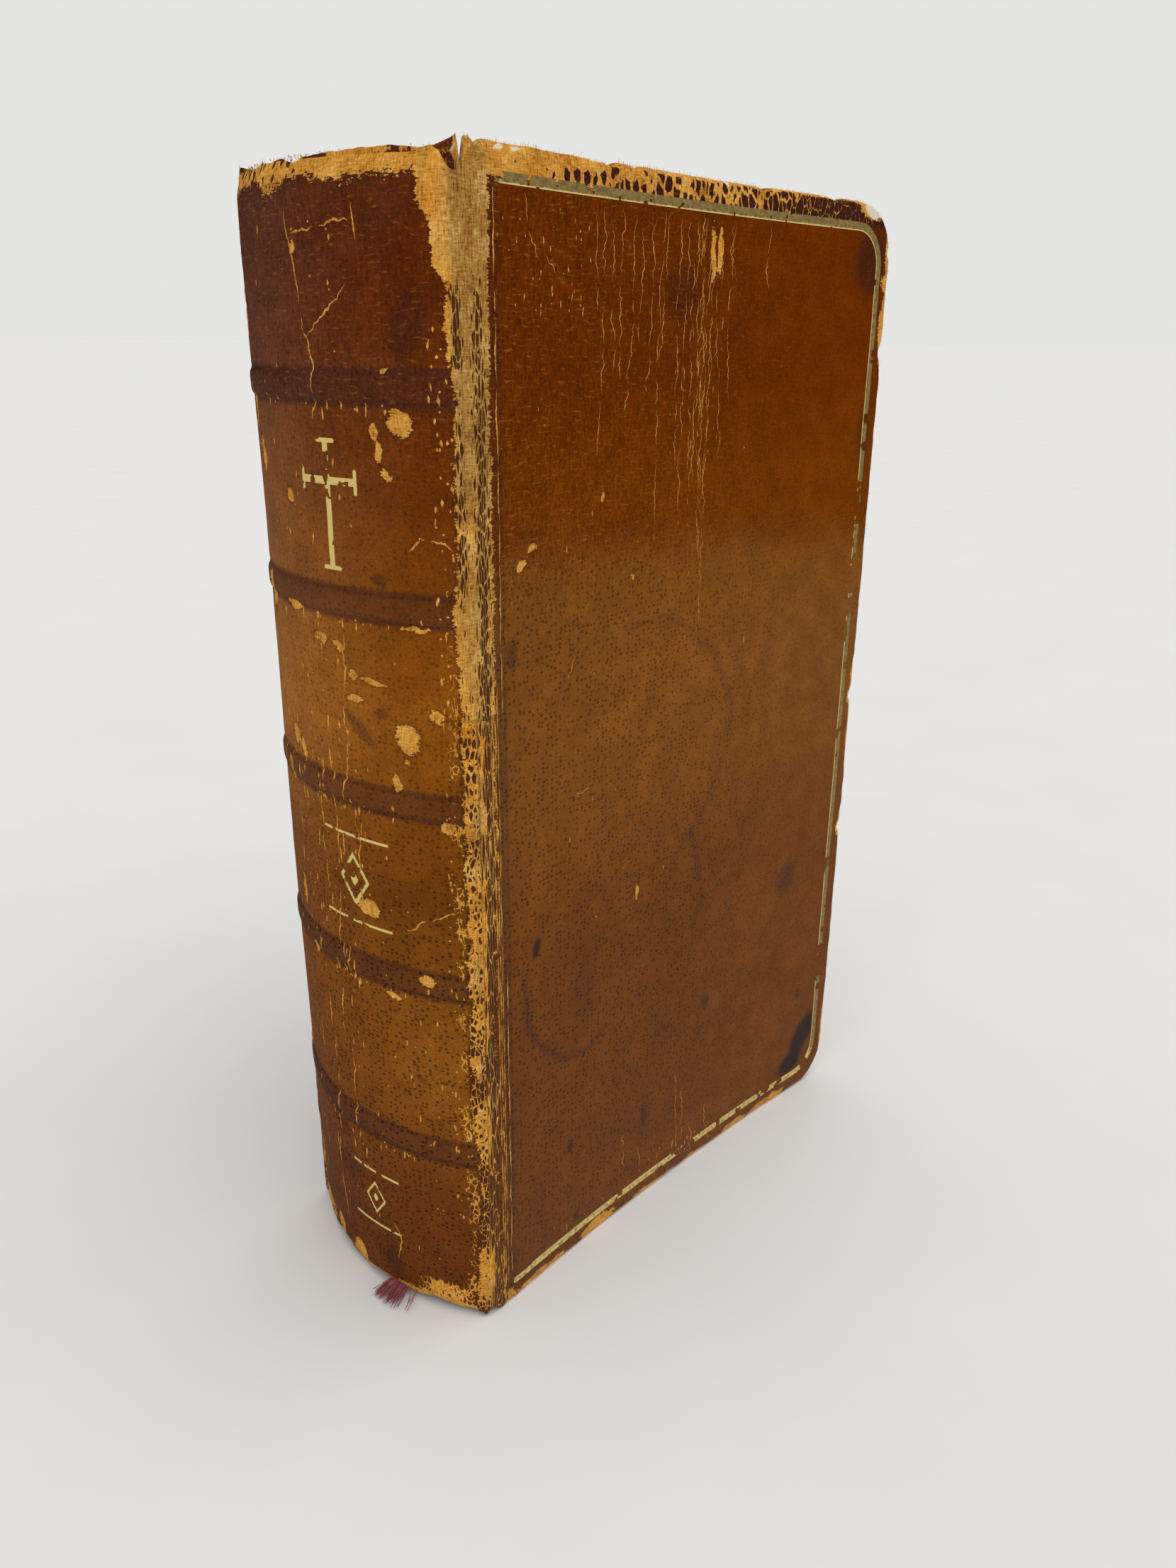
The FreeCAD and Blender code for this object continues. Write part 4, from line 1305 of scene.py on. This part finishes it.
def cloth_material(name, colour, shadow, pitch):
    """Plain woven linen or thread: crossing ribs of one pitch."""
    tree = Tree(name)
    place = object_place(tree)
    ribs = {"Vector": place, "Scale": 0.314 / pitch, "Distortion": 0.6}
    across = tree.node("ShaderNodeTexWave", ribs)
    up = tree.node("ShaderNodeTexWave", ribs, bands_direction="Z")
    weave = across * up
    mixed = tree.mix((weave + tree.noise(place, 3.0, 4.0)) * 0.5, rgb(*shadow), rgb(*colour))
    return tree.finish(Base_Color=mixed, Roughness=0.9, Normal=tree.bump(weave, 0.08 * MM))


def gold_material():
    """Old tooled gold: dull olive leaf, bright where its edges catch the light."""
    tree = Tree("gold_tooled")
    broken = tree.noise(tree.field("sheet", "Vector"), 0.8, 6.0, 0.7)
    bright = tree.ramp(tree.field("edge") + (broken - 0.5), 0.50, 0.74)
    dull = tree.mix(tree.ramp(broken, 0.35, 0.65), rgb(0.200, 0.125, 0.032), rgb(0.340, 0.240, 0.075))
    return tree.finish(
        Base_Color=tree.mix(bright, dull, rgb(0.80, 0.60, 0.18)),
        Metallic=0.1,
        Roughness=tree.ramp(bright, 0.0, 1.0, 0.5, 0.35),
        Normal=tree.bump(broken, 0.03 * MM),
    )


def board_material():
    """Grey millboard with coarse pulp."""
    tree = Tree("millboard")
    place = object_place(tree)
    pulp = tree.noise(place, 0.7, 6.0, 0.7)
    colour = tree.mix(tree.ramp(pulp, 0.35, 0.65), rgb(0.36, 0.30, 0.22), rgb(0.62, 0.55, 0.44))
    return tree.finish(Base_Color=colour, Roughness=0.9, Normal=tree.bump(pulp, 0.1 * MM))


def thread_material(name, roughness, sheen):
    """Silk or wool thread whose colour is painted on its points, dusty and slightly uneven."""
    tree = Tree(name)
    place = object_place(tree)
    dust = tree.ramp(tree.noise(place, 1.1, 5.0, 0.65), 0.4, 0.75, 0.0, 0.35)
    twist = tree.stretched_noise(place, (1.0, 1.0, 3.0), 0.18, 3.0)
    return tree.finish(
        Base_Color=tree.mix(dust, tree.field("tone", "Color"), rgb(0.42, 0.32, 0.22)),
        Roughness=roughness,
        Sheen_Weight=sheen,
        Normal=tree.bump(twist, 0.05 * MM),
    )


# ---------------------------------------------------------------- gold

def gold_piece(name, u, v, keep, lift, flipped, edge, material):
    """Gold leaf on a grid of sheet places, without the cells where it has gone."""
    cell_keep = (keep[:-1, :-1] & keep[1:, :-1] & keep[:-1, 1:] & keep[1:, 1:]).ravel()
    places = {"sheet": flat_place(u, v), "edge": edge}
    part = grid_part(on_sheet(u, v, relief(u, v) - lift), places, flipped)
    used, renumbered = np.unique(part["faces"][cell_keep], return_inverse=True)
    fields = {field: values[used] for field, values in part["fields"].items()}
    kept = {"points": part["points"][used], "faces": renumbered.reshape(-1, 4), "fields": fields}
    return new_piece(name, kept, [material])


def gilt_frame_path(step):
    """Centre line of the gilt frame on a cover and its outward directions, as a closed loop."""
    low_u = GILT_SPINE_X - JOINT_X + GILT_WIDTH / 2
    high_u = GILT_FORE_X - JOINT_X - GILT_WIDTH / 2
    low_v = GILT_TAIL_Z + GILT_WIDTH / 2
    high_v = HEIGHT - low_v
    radius = CORNER_RADIUS - (FORE_X - GILT_FORE_X)
    corners = np.array([(low_u, low_v), (high_u, low_v), (high_u, high_v), (low_u, high_v)])
    radii = (0.0, radius, radius, 0.0)
    line, outward = [], []
    for corner, follow in ((0, 1), (1, 2), (2, 3), (3, 0)):
        length = np.hypot(*(corners[follow] - corners[corner]))
        along_side = (corners[follow] - corners[corner]) / length
        out = np.array([along_side[1], -along_side[0]])
        for distance in np.arange(radii[corner], length - radii[follow], step):
            line.append(corners[corner] + along_side * distance)
            outward.append(out)
        centre = corners[follow] - radii[follow] * (along_side + out)
        start = math.atan2(out[1], out[0])
        for turn in np.linspace(start, start + math.pi / 2, 9):
            direction = np.array([math.cos(turn), math.sin(turn)])
            line.append(centre + radii[follow] * direction)
            outward.append(direction)
    return np.array(line + line[:1]).T, np.array(outward + outward[:1]).T


def gilt_frame(side, material):
    """The gilt line round a cover, cracked across here and there, with a painted highlight brightest along
    its inner edge.
    """
    (line_u, line_v), (out_u, out_v) = gilt_frame_path(0.2)
    offsets = np.linspace(-GILT_WIDTH / 2, GILT_WIDTH / 2, 9)[:, None]
    across = line_u + offsets * out_u
    v = line_v + offsets * out_v
    u = across if side == "front" else -SPINE_ACROSS - across
    at_head = v > HEIGHT - 8
    worn = layered_noise(u, v, 2.2, 111) + 0.5 * noise(u, v, 17.0, 112)
    worn_off = np.where(at_head, 0.95, np.where(across > COVER_ACROSS - 8, 0.32, 0.50))
    keep = (worn < worn_off) & (wear_field(u, v) < np.where(at_head, 0.75, 0.5))
    keep &= ~(at_head & (np.abs(layered_noise(u, v * 0.3, 3.1, 113)) < 0.008))
    keep &= (v > HEAD_LINE_Z - 0.8) | (across > 10) | (v < GILT_TAIL_Z + GILT_WIDTH)
    to_inner = offsets / GILT_WIDTH + 0.5 + 0 * u
    # edge sets the painted highlight on the gold: strong along the inner edge, weaker along the outer edge,
    # and some over the whole line away from the head, most near the tail.
    edge = np.maximum(bump(to_inner, 0.0, 0.34), 0.45 * bump(to_inner, 1.0, 0.2))
    edge = np.where(at_head, edge, np.maximum(edge, np.where(v < 8, 0.66, 0.22)))
    piece = gold_piece(f"{side}_gilt", u, v, keep, 0.03, side == "front", edge, material)
    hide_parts(f"{side}_gilt_frame")
    return piece


# The cross: start and end of each stroke across from the middle and in height, and its width.
CROSS_STROKES = [
    (0.0, 118.8, 0.0, 134.2, 1.1),
    (-4.6, 129.6, 4.6, 129.6, 1.1),
    (-1.5, 134.6, 1.5, 134.6, 0.7),
    (-1.5, 118.4, 1.5, 118.4, 0.7),
    (-5.0, 128.3, -5.0, 130.9, 0.7),
    (5.0, 128.3, 5.0, 130.9, 0.7),
]
RULE_REACH = 6.8


def in_strip(u, v, start, end, width):
    """Whether places lie on a straight strip."""
    return distance_to_line(u, v, [start, end]) < width / 2


def spine_ornaments(material):
    """A plain cross in one panel, and a lozenge between two rules in two others."""
    middle = -SPINE_ACROSS / 2 + ORNAMENT_SHIFT
    u, v = np.meshgrid(np.arange(middle - 9, middle + 9, 0.14), np.arange(8, 136, 0.14))
    shown = np.zeros(u.shape, bool)
    for start_u, start_v, end_u, end_v, width in CROSS_STROKES:
        shown |= in_strip(u, v, (middle + start_u, start_v), (middle + end_u, end_v), width)
    for panel, size in ((73.5, 1.0), (17.0, 0.75)):
        diamond = (np.abs(u - middle) / 3.2 + np.abs(v - panel) / 4.4) / size
        shown |= ((diamond < 1.0) & (diamond > 0.72)) | (diamond < 0.3)
        reach = RULE_REACH * size
        for rule in (panel - reach, panel + reach):
            shown |= in_strip(u, v, (middle - reach, rule), (middle + reach, rule), 0.6)
    kept = shown & (layered_noise(u, v, 1.3, 121) < 0.38)
    # A strong painted highlight over all the ornaments.
    piece = gold_piece("spine_ornaments", u, v, kept, 0.02, False, np.full(u.shape, 0.85), material)
    bend_with_spine(piece)


# ---------------------------------------------------------------- leaves

FOLDS_RADIUS = SPINE_CENTRE_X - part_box("gathering_12")[0].x / MM
LEAVES_TAIL_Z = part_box("gathering_01")[0].z / MM
LEAVES_HEAD_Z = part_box("gathering_01")[1].z / MM
LEAF_CORNER_RADIUS = 7.0
LEAF_WIDTH = 92.0
LEAVES_DEPTH = 2.75
FRONT_GATHERINGS = 9
GATHERINGS = 24
OPENING_GAP = 0.4
SHEETS_EACH = 6
SHEET_THICKNESS = 0.09
# Distances from the fore-edge where a leaf has points, close together round its corners.
STEPS_TO_FORE = (0, 0.03, 0.1, 0.35, 0.8, 1.5, 2.5, 3.8, 5.2, 7.0)


def folds_x(y):
    return SPINE_CENTRE_X - math.sqrt(FOLDS_RADIUS**2 - y**2)


def front_leaf_ys():
    """The y of the first leaf at its fold, its middle and its fore-edge."""
    fold_y = float(hollow_y(SPINE_CENTRE_X - FOLDS_RADIUS)) + LEAVES_DEPTH
    fold_x = folds_x(fold_y)
    places = (fold_x, fold_x + LEAF_WIDTH / 2, fold_x + LEAF_WIDTH)
    return [float(hollow_y(x)) + LEAVES_DEPTH for x in places]


def leaf_line(front_ys, back_y, share, places):
    """A leaf's plan curve at these shares of its width, between a bowed leaf and a flat one."""
    ys = [y + (back_y - y) * share for y in front_ys]
    start_x = folds_x(ys[0]) + 0.35
    bow = ys[1] - (ys[0] + ys[2]) / 2
    x = start_x + (LEAF_WIDTH - 0.35) * places
    y = ys[0] + (ys[2] - ys[0]) * places + bow * 4 * places * (1 - places)
    return x, y


def folded_line(front_ys, back_y, share, half_gap, rng):
    """The plan curve of one folded sheet, from one fore-edge round the fold to the other."""
    to_fore = np.array(STEPS_TO_FORE) / LEAF_WIDTH
    places = np.concatenate([np.linspace(0.0, 1 - 0.12, 9), 1 - to_fore[::-1]])
    shrink = rng.uniform(0.0, 0.16, 2)
    sway = rng.normal(0, 0.02, 2)
    lines = []
    for side, leaf_share in enumerate((share - half_gap, share + half_gap)):
        x, y = leaf_line(front_ys, back_y, leaf_share, places)
        lines.append((x - shrink[side] * places, y + sway[side] * np.sin(places * math.pi)))
    (near_x, near_y), (far_x, far_y) = lines
    fold_x = min(near_x[0], far_x[0]) - min(0.3, abs(far_y[0] - near_y[0]) / 2)
    x = np.concatenate([near_x[::-1], [fold_x], far_x])
    return x, np.concatenate([near_y[::-1], [(near_y[0] + far_y[0]) / 2], far_y])


def slab_faces(rows, columns):
    """Faces of a thin slab made of two grids of points, and which of them are its trimmed edges."""
    body = np.concatenate([grid_faces(rows, columns), grid_faces(rows, columns, True) + rows * columns])
    index = np.arange(2 * rows * columns).reshape(2, rows, columns)
    edges = []
    tail, head, first_fore, last_fore = index[:, 0], index[:, -1], index[:, :, 0], index[:, :, -1]
    for line, flip in ((tail, True), (head, False), (first_fore, False), (last_fore, True)):
        strip = [line[0, :-1], line[0, 1:], line[1, 1:], line[1, :-1]]
        edges.append(np.stack(strip[::-1] if flip else strip, -1))
    trimmed = np.concatenate(edges)
    return np.concatenate([body, trimmed]), np.repeat([0.0, 1.0], [len(body), len(trimmed)])


def folded_sheet(front_ys, back_y, share, half_gap, rng):
    """One folded sheet of paper: two leaves joined at the fold, with a little thickness."""
    x, y = folded_line(front_ys, back_y, share, half_gap, rng)
    from_fore = np.clip(LEAF_CORNER_RADIUS - (max(x[0], x[-1]) - x), 0, LEAF_CORNER_RADIUS)
    cut = LEAF_CORNER_RADIUS - np.sqrt(LEAF_CORNER_RADIUS**2 - from_fore**2)
    trim = rng.uniform(0.0, 0.14, 2)
    low = LEAVES_TAIL_Z + cut + trim[0]
    high = LEAVES_HEAD_Z - cut - trim[1]
    off_x, off_y = crosswise(x, y)
    rows = np.array([0.0, 0.35, 0.7, 1.0])
    z = low + (high - low) * rows[:, None]
    sides = []
    for offset in (SHEET_THICKNESS / 2, -SHEET_THICKNESS / 2):
        wave = 0.015 * np.sin(rows * 5 + rng.uniform(0, 6))[:, None]
        side = np.stack([x + offset * off_x + 0 * z, y + offset * off_y + wave, z], -1)
        sides.append(side.reshape(-1, 3))
    faces, trimmed = slab_faces(len(rows), len(x))
    return np.concatenate(sides), faces, trimmed


def gathering_piece(number, front_ys, back_y, low_share, high_share, materials):
    """One gathering as separate folded sheets, nested in each other."""
    rng = np.random.default_rng(200 + number)
    middle = (low_share + high_share) / 2
    half = (high_share - low_share) / 2
    parts, trimmed = [], []
    for sheet in range(SHEETS_EACH):
        half_gap = half * (sheet + 0.5) / SHEETS_EACH
        points, faces, edges = folded_sheet(front_ys, back_y, middle, half_gap, rng)
        parts.append({"points": points, "faces": faces, "fields": {}})
        trimmed.append(edges)
    name = f"leaves_{number:02d}"
    piece = new_piece(name, joined(parts), materials, np.concatenate(trimmed), smooth=False)
    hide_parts(f"gathering_{number:02d}")
    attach(piece, "front_leaves" if number <= FRONT_GATHERINGS else "back_leaves")


def leaves(materials):
    """All the gatherings, with the gap where the book opens."""
    front_ys = front_leaf_ys()
    back_y = HALF_DEPTH - LEAVES_DEPTH
    opening_y = front_ys[0] + (back_y - front_ys[0]) * FRONT_GATHERINGS / GATHERINGS
    groups = [
        (front_ys, opening_y - OPENING_GAP / 2, FRONT_GATHERINGS),
        ([opening_y + OPENING_GAP / 2] * 3, back_y, GATHERINGS - FRONT_GATHERINGS),
    ]
    number = 0
    for ys, last_y, count in groups:
        for index in range(count):
            number += 1
            gathering_piece(number, ys, last_y, index / count, (index + 1) / count, materials)
    return opening_y


# ---------------------------------------------------------------- endbands and ribbon

ENDBAND_HALF_DEPTH = 0.8
ENDBAND_THREAD = 0.42
ENDBAND_RED = np.array([0.26, 0.030, 0.022, 1])
ENDBAND_CREAM = np.array([0.60, 0.49, 0.33, 1])


def tube_part(centres, normals, ups, tone):
    """A thick thread along some centres. Its oval section is given by two half-widths with directions."""
    around = 10
    turns = np.linspace(0, 2 * math.pi, around, endpoint=False)
    points = np.stack([centres + normals * math.cos(turn) + ups * math.sin(turn) for turn in turns], 1)
    index = np.arange(len(centres) * around).reshape(-1, around)
    follow = np.roll(index, -1, 1)
    faces = np.stack([index[:-1], follow[:-1], follow[1:], index[1:]], -1).reshape(-1, 4)
    return {"points": points.reshape(-1, 3), "faces": faces, "fields": {"tone": np.repeat(tone, around, 0)}}


def endband_piece(node, material):
    """An endband: silk wound over a core in stripes of two colours, following the spine."""
    low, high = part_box(node)
    half_height = (high.z - low.z) / 2 / MM
    outer = SPINE_CENTRE_X - low.x / MM
    half_angle = math.asin(high.y / MM / outer)
    radius = outer - ENDBAND_HALF_DEPTH
    threads = int(2 * half_angle * radius / ENDBAND_THREAD)
    angle = np.linspace(-half_angle, half_angle, threads * 6)
    phase = (angle + half_angle) * radius / ENDBAND_THREAD
    ridge = 0.9 + 0.1 * np.abs(np.sin(phase * math.pi))
    taper = np.clip(np.minimum(angle + half_angle, half_angle - angle) * radius / 0.5, 0.3, 1)
    section = (ridge * taper)[:, None]
    out = np.stack([-np.cos(angle), np.sin(angle), 0 * angle], -1)
    centres = np.array([SPINE_CENTRE_X, 0, (low.z + high.z) / 2 / MM]) + out * radius
    up = np.array([0.0, 0.0, half_height])
    stripe = (np.floor(phase / 3).astype(int) % 2)[:, None]
    tone = ENDBAND_RED * (1 - stripe) + ENDBAND_CREAM * stripe
    part = tube_part(centres, out * section * ENDBAND_HALF_DEPTH, up * section, tone)
    piece = new_piece(f"{node}_silk", part, [material])
    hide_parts(node)
    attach(piece, "back_leaves")


RIBBON_WIDTH = 10.0
RIBBON_TAIL_Z = 2.4
RIBBON_COLOUR = np.array([0.115, 0.012, 0.014, 1])
FRAY_COLOUR = np.array([0.360, 0.050, 0.080, 1])
FRAY_RADIUS = 0.06


def ribbon_pieces(opening_y, material):
    """The silk ribbon between the leaves and its frayed end, drawn out under the spine."""
    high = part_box("ribbon_marker")[1]
    low_x = high.x / MM - RIBBON_WIDTH
    head_z = high.z / MM
    across, z = np.meshgrid(np.linspace(0, RIBBON_WIDTH, 21), np.linspace(RIBBON_TAIL_Z, head_z, 90))
    y = opening_y + 0.03 * np.sin(z * 0.11)
    half = 0.05 + np.where(np.arange(21) % 2 == 0, 0.03, 0.0)
    tone = RIBBON_COLOUR * (1 + 0.2 * noise(low_x + across, z, 6.0, 131)[..., None])
    parts = []
    for offset, flipped in ((-half, False), (half, True)):
        parts.append(grid_part(np.stack([low_x + across, y + offset, z], -1), {"tone": tone}, flipped))
    ribbon = new_piece("ribbon_silk", joined(parts), [material])
    fray = ribbon_fray(opening_y, low_x, material)
    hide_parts("ribbon_marker")
    for piece in (ribbon, fray):
        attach(piece, "ribbon")


def ribbon_fray(opening_y, low_x, material):
    """Loose silk threads from the ribbon's end, swept out under the spine."""
    rng = np.random.default_rng(141)
    share = np.linspace(0, 1, 9)[:, None]
    parts = []
    for _ in range(170):
        start = np.array([low_x + rng.uniform(0, RIBBON_WIDTH * 0.7), opening_y, 2.6])
        reach_x = rng.uniform(-54.0, -50.5)
        end = np.array([reach_x, opening_y - abs(rng.normal(0, 2.6)), rng.uniform(0.35, 1.5)])
        middle = (start + end) / 2 + np.array([0, -abs(rng.normal(0, 0.5)), -rng.uniform(0.6, 1.1)])
        path = start * (1 - share) ** 2 + 2 * middle * share * (1 - share) + end * share**2
        path[:, 2] = np.clip(path[:, 2] + 0.1 * np.sin(share[:, 0] * 14 + rng.uniform(0, 6)), 0.2, 2.8)
        shade = FRAY_COLOUR * rng.uniform(0.45, 1.3)
        across = np.array([0.0, FRAY_RADIUS, 0.0])
        up = np.array([0.0, 0.0, FRAY_RADIUS])
        parts.append(tube_part(path, across, up, np.repeat(shade[None], len(path), 0)))
    return new_piece("ribbon_fray", joined(parts), [material])


# ---------------------------------------------------------------- the book


def bend_with_spine(piece):
    """Bakes a piece's placement into its mesh."""
    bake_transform(piece)


def leather_pieces(material):
    """The leather of both covers and the spine."""
    for side, step, y in (("front", 0.5, -HALF_DEPTH * MM), ("back", 1.0, HALF_DEPTH * MM)):
        piece = new_piece(f"{side}_leather", cover_leather_part(side, step), [material])
        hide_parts(f"{side}_cover_leather", f"{side}_joint_leather")
        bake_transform(piece)
    spine = new_piece("spine_skin", spine_leather_part(), [material])
    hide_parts("spine_leather", *BAND_NODES)
    bend_with_spine(spine)


def paint_nodes(names, material):
    """Gives CAD nodes that stay in view a finished material."""
    for name in names:
        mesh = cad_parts[name].data
        mesh.materials.clear()
        mesh.materials.append(material)


def book():
    """Every piece of the book, and the materials of the CAD nodes that stay in view."""
    gold = gold_material()
    leather_pieces(leather_material())
    for side in ("front", "back"):
        piece = gilt_frame(side, gold)
        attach(piece, f"{side}_cover")
    spine_ornaments(gold)
    old_paper = paper_material("old_paper", (0.74, 0.64, 0.47), (0.66, 0.54, 0.36), (0.42, 0.24, 0.10))
    opening_y = leaves([old_paper, leaf_edge_material()])
    endpaper = paper_material("endpaper_cream", (0.70, 0.61, 0.45), (0.64, 0.54, 0.38), (0.38, 0.20, 0.08))
    lining = paper_material("lining_brown", (0.34, 0.24, 0.14), (0.24, 0.16, 0.09), (0.14, 0.08, 0.04))
    paint_nodes(["front_pastedown", "back_pastedown", "front_flyleaf", "back_flyleaf"], endpaper)
    paint_nodes(["spine_hollow"], lining)
    paint_nodes(["front_board", "back_board"], board_material())
    for node, name, colour, shadow, pitch in (
        ("spine_mull", "mull_gauze", (0.62, 0.53, 0.37), (0.22, 0.16, 0.09), 0.9),
        ("sewing_tapes", "tape_linen", (0.60, 0.52, 0.38), (0.34, 0.27, 0.17), 0.4),
        ("sewing_thread", "thread_linen", (0.64, 0.57, 0.44), (0.36, 0.29, 0.19), 0.3),
    ):
        paint_nodes([node], cloth_material(name, colour, shadow, pitch))
    silk = thread_material("silk_striped", 0.55, 0.25)
    for node in ("head_band", "tail_band"):
        endband_piece(node, silk)
    ribbon_pieces(opening_y, thread_material("silk_ribbon", 0.45, 0.3))


# ---------------------------------------------------------------- the studio

FLOOR_REACH = 60000.0
REFLECTED_FLOOR_Y = -530.0
REFLECTED_FADE_Y = -270.0


def floor_piece(name, front_y, fade_y):
    """A level sheet from front_y backwards, darkening between fade_y and front_y."""
    tree = Tree(name)
    place = object_place(tree)
    speckle = tree.ramp(tree.noise(place, 40.0, 3.0), 0.3, 0.7)
    colour = tree.mix(speckle, rgb(0.772, 0.772, 0.765), rgb(0.788, 0.788, 0.781))
    depth_y = tree.node("ShaderNodeSeparateXYZ", {"Vector": place}, 1)
    colour = tree.mix(tree.ramp(depth_y, front_y, fade_y, 0.5, 1.0), rgb(0.05, 0.05, 0.05), colour)
    tree.finish(Base_Color=colour, Roughness=0.9, Specular_IOR_Level=0.1)
    x, y = np.meshgrid(np.linspace(-FLOOR_REACH, FLOOR_REACH, 3), np.linspace(front_y, FLOOR_REACH, 3))
    piece = new_piece(name, grid_part(flat_place(x, y), {}), [tree.material])
    return piece


def floor():
    """A plain pale floor. Reflections see one that ends in front of the book, where a dark room begins."""
    seen = floor_piece("studio_floor", -FLOOR_REACH, 1 - FLOOR_REACH)
    seen.visible_glossy = False
    reflected = floor_piece("floor_reflected", REFLECTED_FLOOR_Y, REFLECTED_FADE_Y)
    reflected.visible_camera = False
    reflected.visible_diffuse = False
    reflected.visible_shadow = False


def lights():
    """Two very broad suns: one from above and a weaker one from the left. Neither shows in reflections."""
    for name, toward, strength, spread in (
        ("top_light", (-0.12, 0.30, -0.94), 1.45, 70),
        ("left_light", (0.75, 0.36, -0.55), 0.42, 60),
    ):
        lamp = bpy.data.lights.new(name, "SUN")
        lamp.energy = strength
        lamp.angle = math.radians(spread)
        made = bpy.data.objects.new(name, lamp)
        made.rotation_euler = Vector(toward).to_track_quat("-Z", "Y").to_euler()
        made.visible_glossy = False
        bpy.context.scene.collection.objects.link(made)


def surroundings():
    """Pale behind the book, soft light from all round, and a dark room in glossy reflections."""
    world = bpy.data.worlds.new("studio")
    world.use_nodes = True
    nodes = world.node_tree.nodes
    links = world.node_tree.links
    nodes.clear()
    path = nodes.new("ShaderNodeLightPath")
    output = nodes.new("ShaderNodeOutputWorld")
    shades = []
    soft_light = ((1.0, 0.985, 0.96), 0.52)
    dark_room = ((1.0, 0.95, 0.9), 0.01)
    pale_backdrop = ((0.785, 0.782, 0.770), 1.0)
    for colour, strength in (soft_light, dark_room, pale_backdrop):
        shade = nodes.new("ShaderNodeBackground")
        shade.inputs["Color"].default_value = rgb(*colour)
        shade.inputs["Strength"].default_value = strength
        shades.append(shade.outputs[0])
    shown = shades[0]
    for ray, shade in (("Is Glossy Ray", shades[1]), ("Is Camera Ray", shades[2])):
        choose = nodes.new("ShaderNodeMixShader")
        links.new(path.outputs[ray], choose.inputs[0])
        links.new(shown, choose.inputs[1])
        links.new(shade, choose.inputs[2])
        shown = choose.outputs[0]
    links.new(shown, output.inputs["Surface"])
    bpy.context.scene.world = world
    bpy.context.scene.view_settings.view_transform = "Standard"


def camera():
    """The camera, close to the book's spine side and looking down at it a little."""
    pitch = math.radians(20.53)
    roll = math.radians(0.47)
    heading = Vector((0.7311, 0.6823, 0)).normalized()
    forward = heading * math.cos(pitch) - Vector((0, 0, math.sin(pitch)))
    level_right = forward.cross(Vector((0, 0, 1))).normalized()
    level_up = level_right.cross(forward)
    right = level_right * math.cos(roll) + level_up * math.sin(roll)
    up = level_up * math.cos(roll) - level_right * math.sin(roll)
    data = bpy.data.cameras.new("camera")
    data.sensor_width = 36.0
    data.lens = 27.2
    data.clip_start = 0.005
    made = bpy.data.objects.new("camera", data)
    turned = Matrix((right, up, -forward)).transposed().to_4x4()
    made.matrix_world = Matrix.Translation((-0.1414, -0.1339, 0.1466)) @ turned
    bpy.context.scene.collection.objects.link(made)
    bpy.context.scene.camera = made


camera()
book()
floor()
lights()
surroundings()
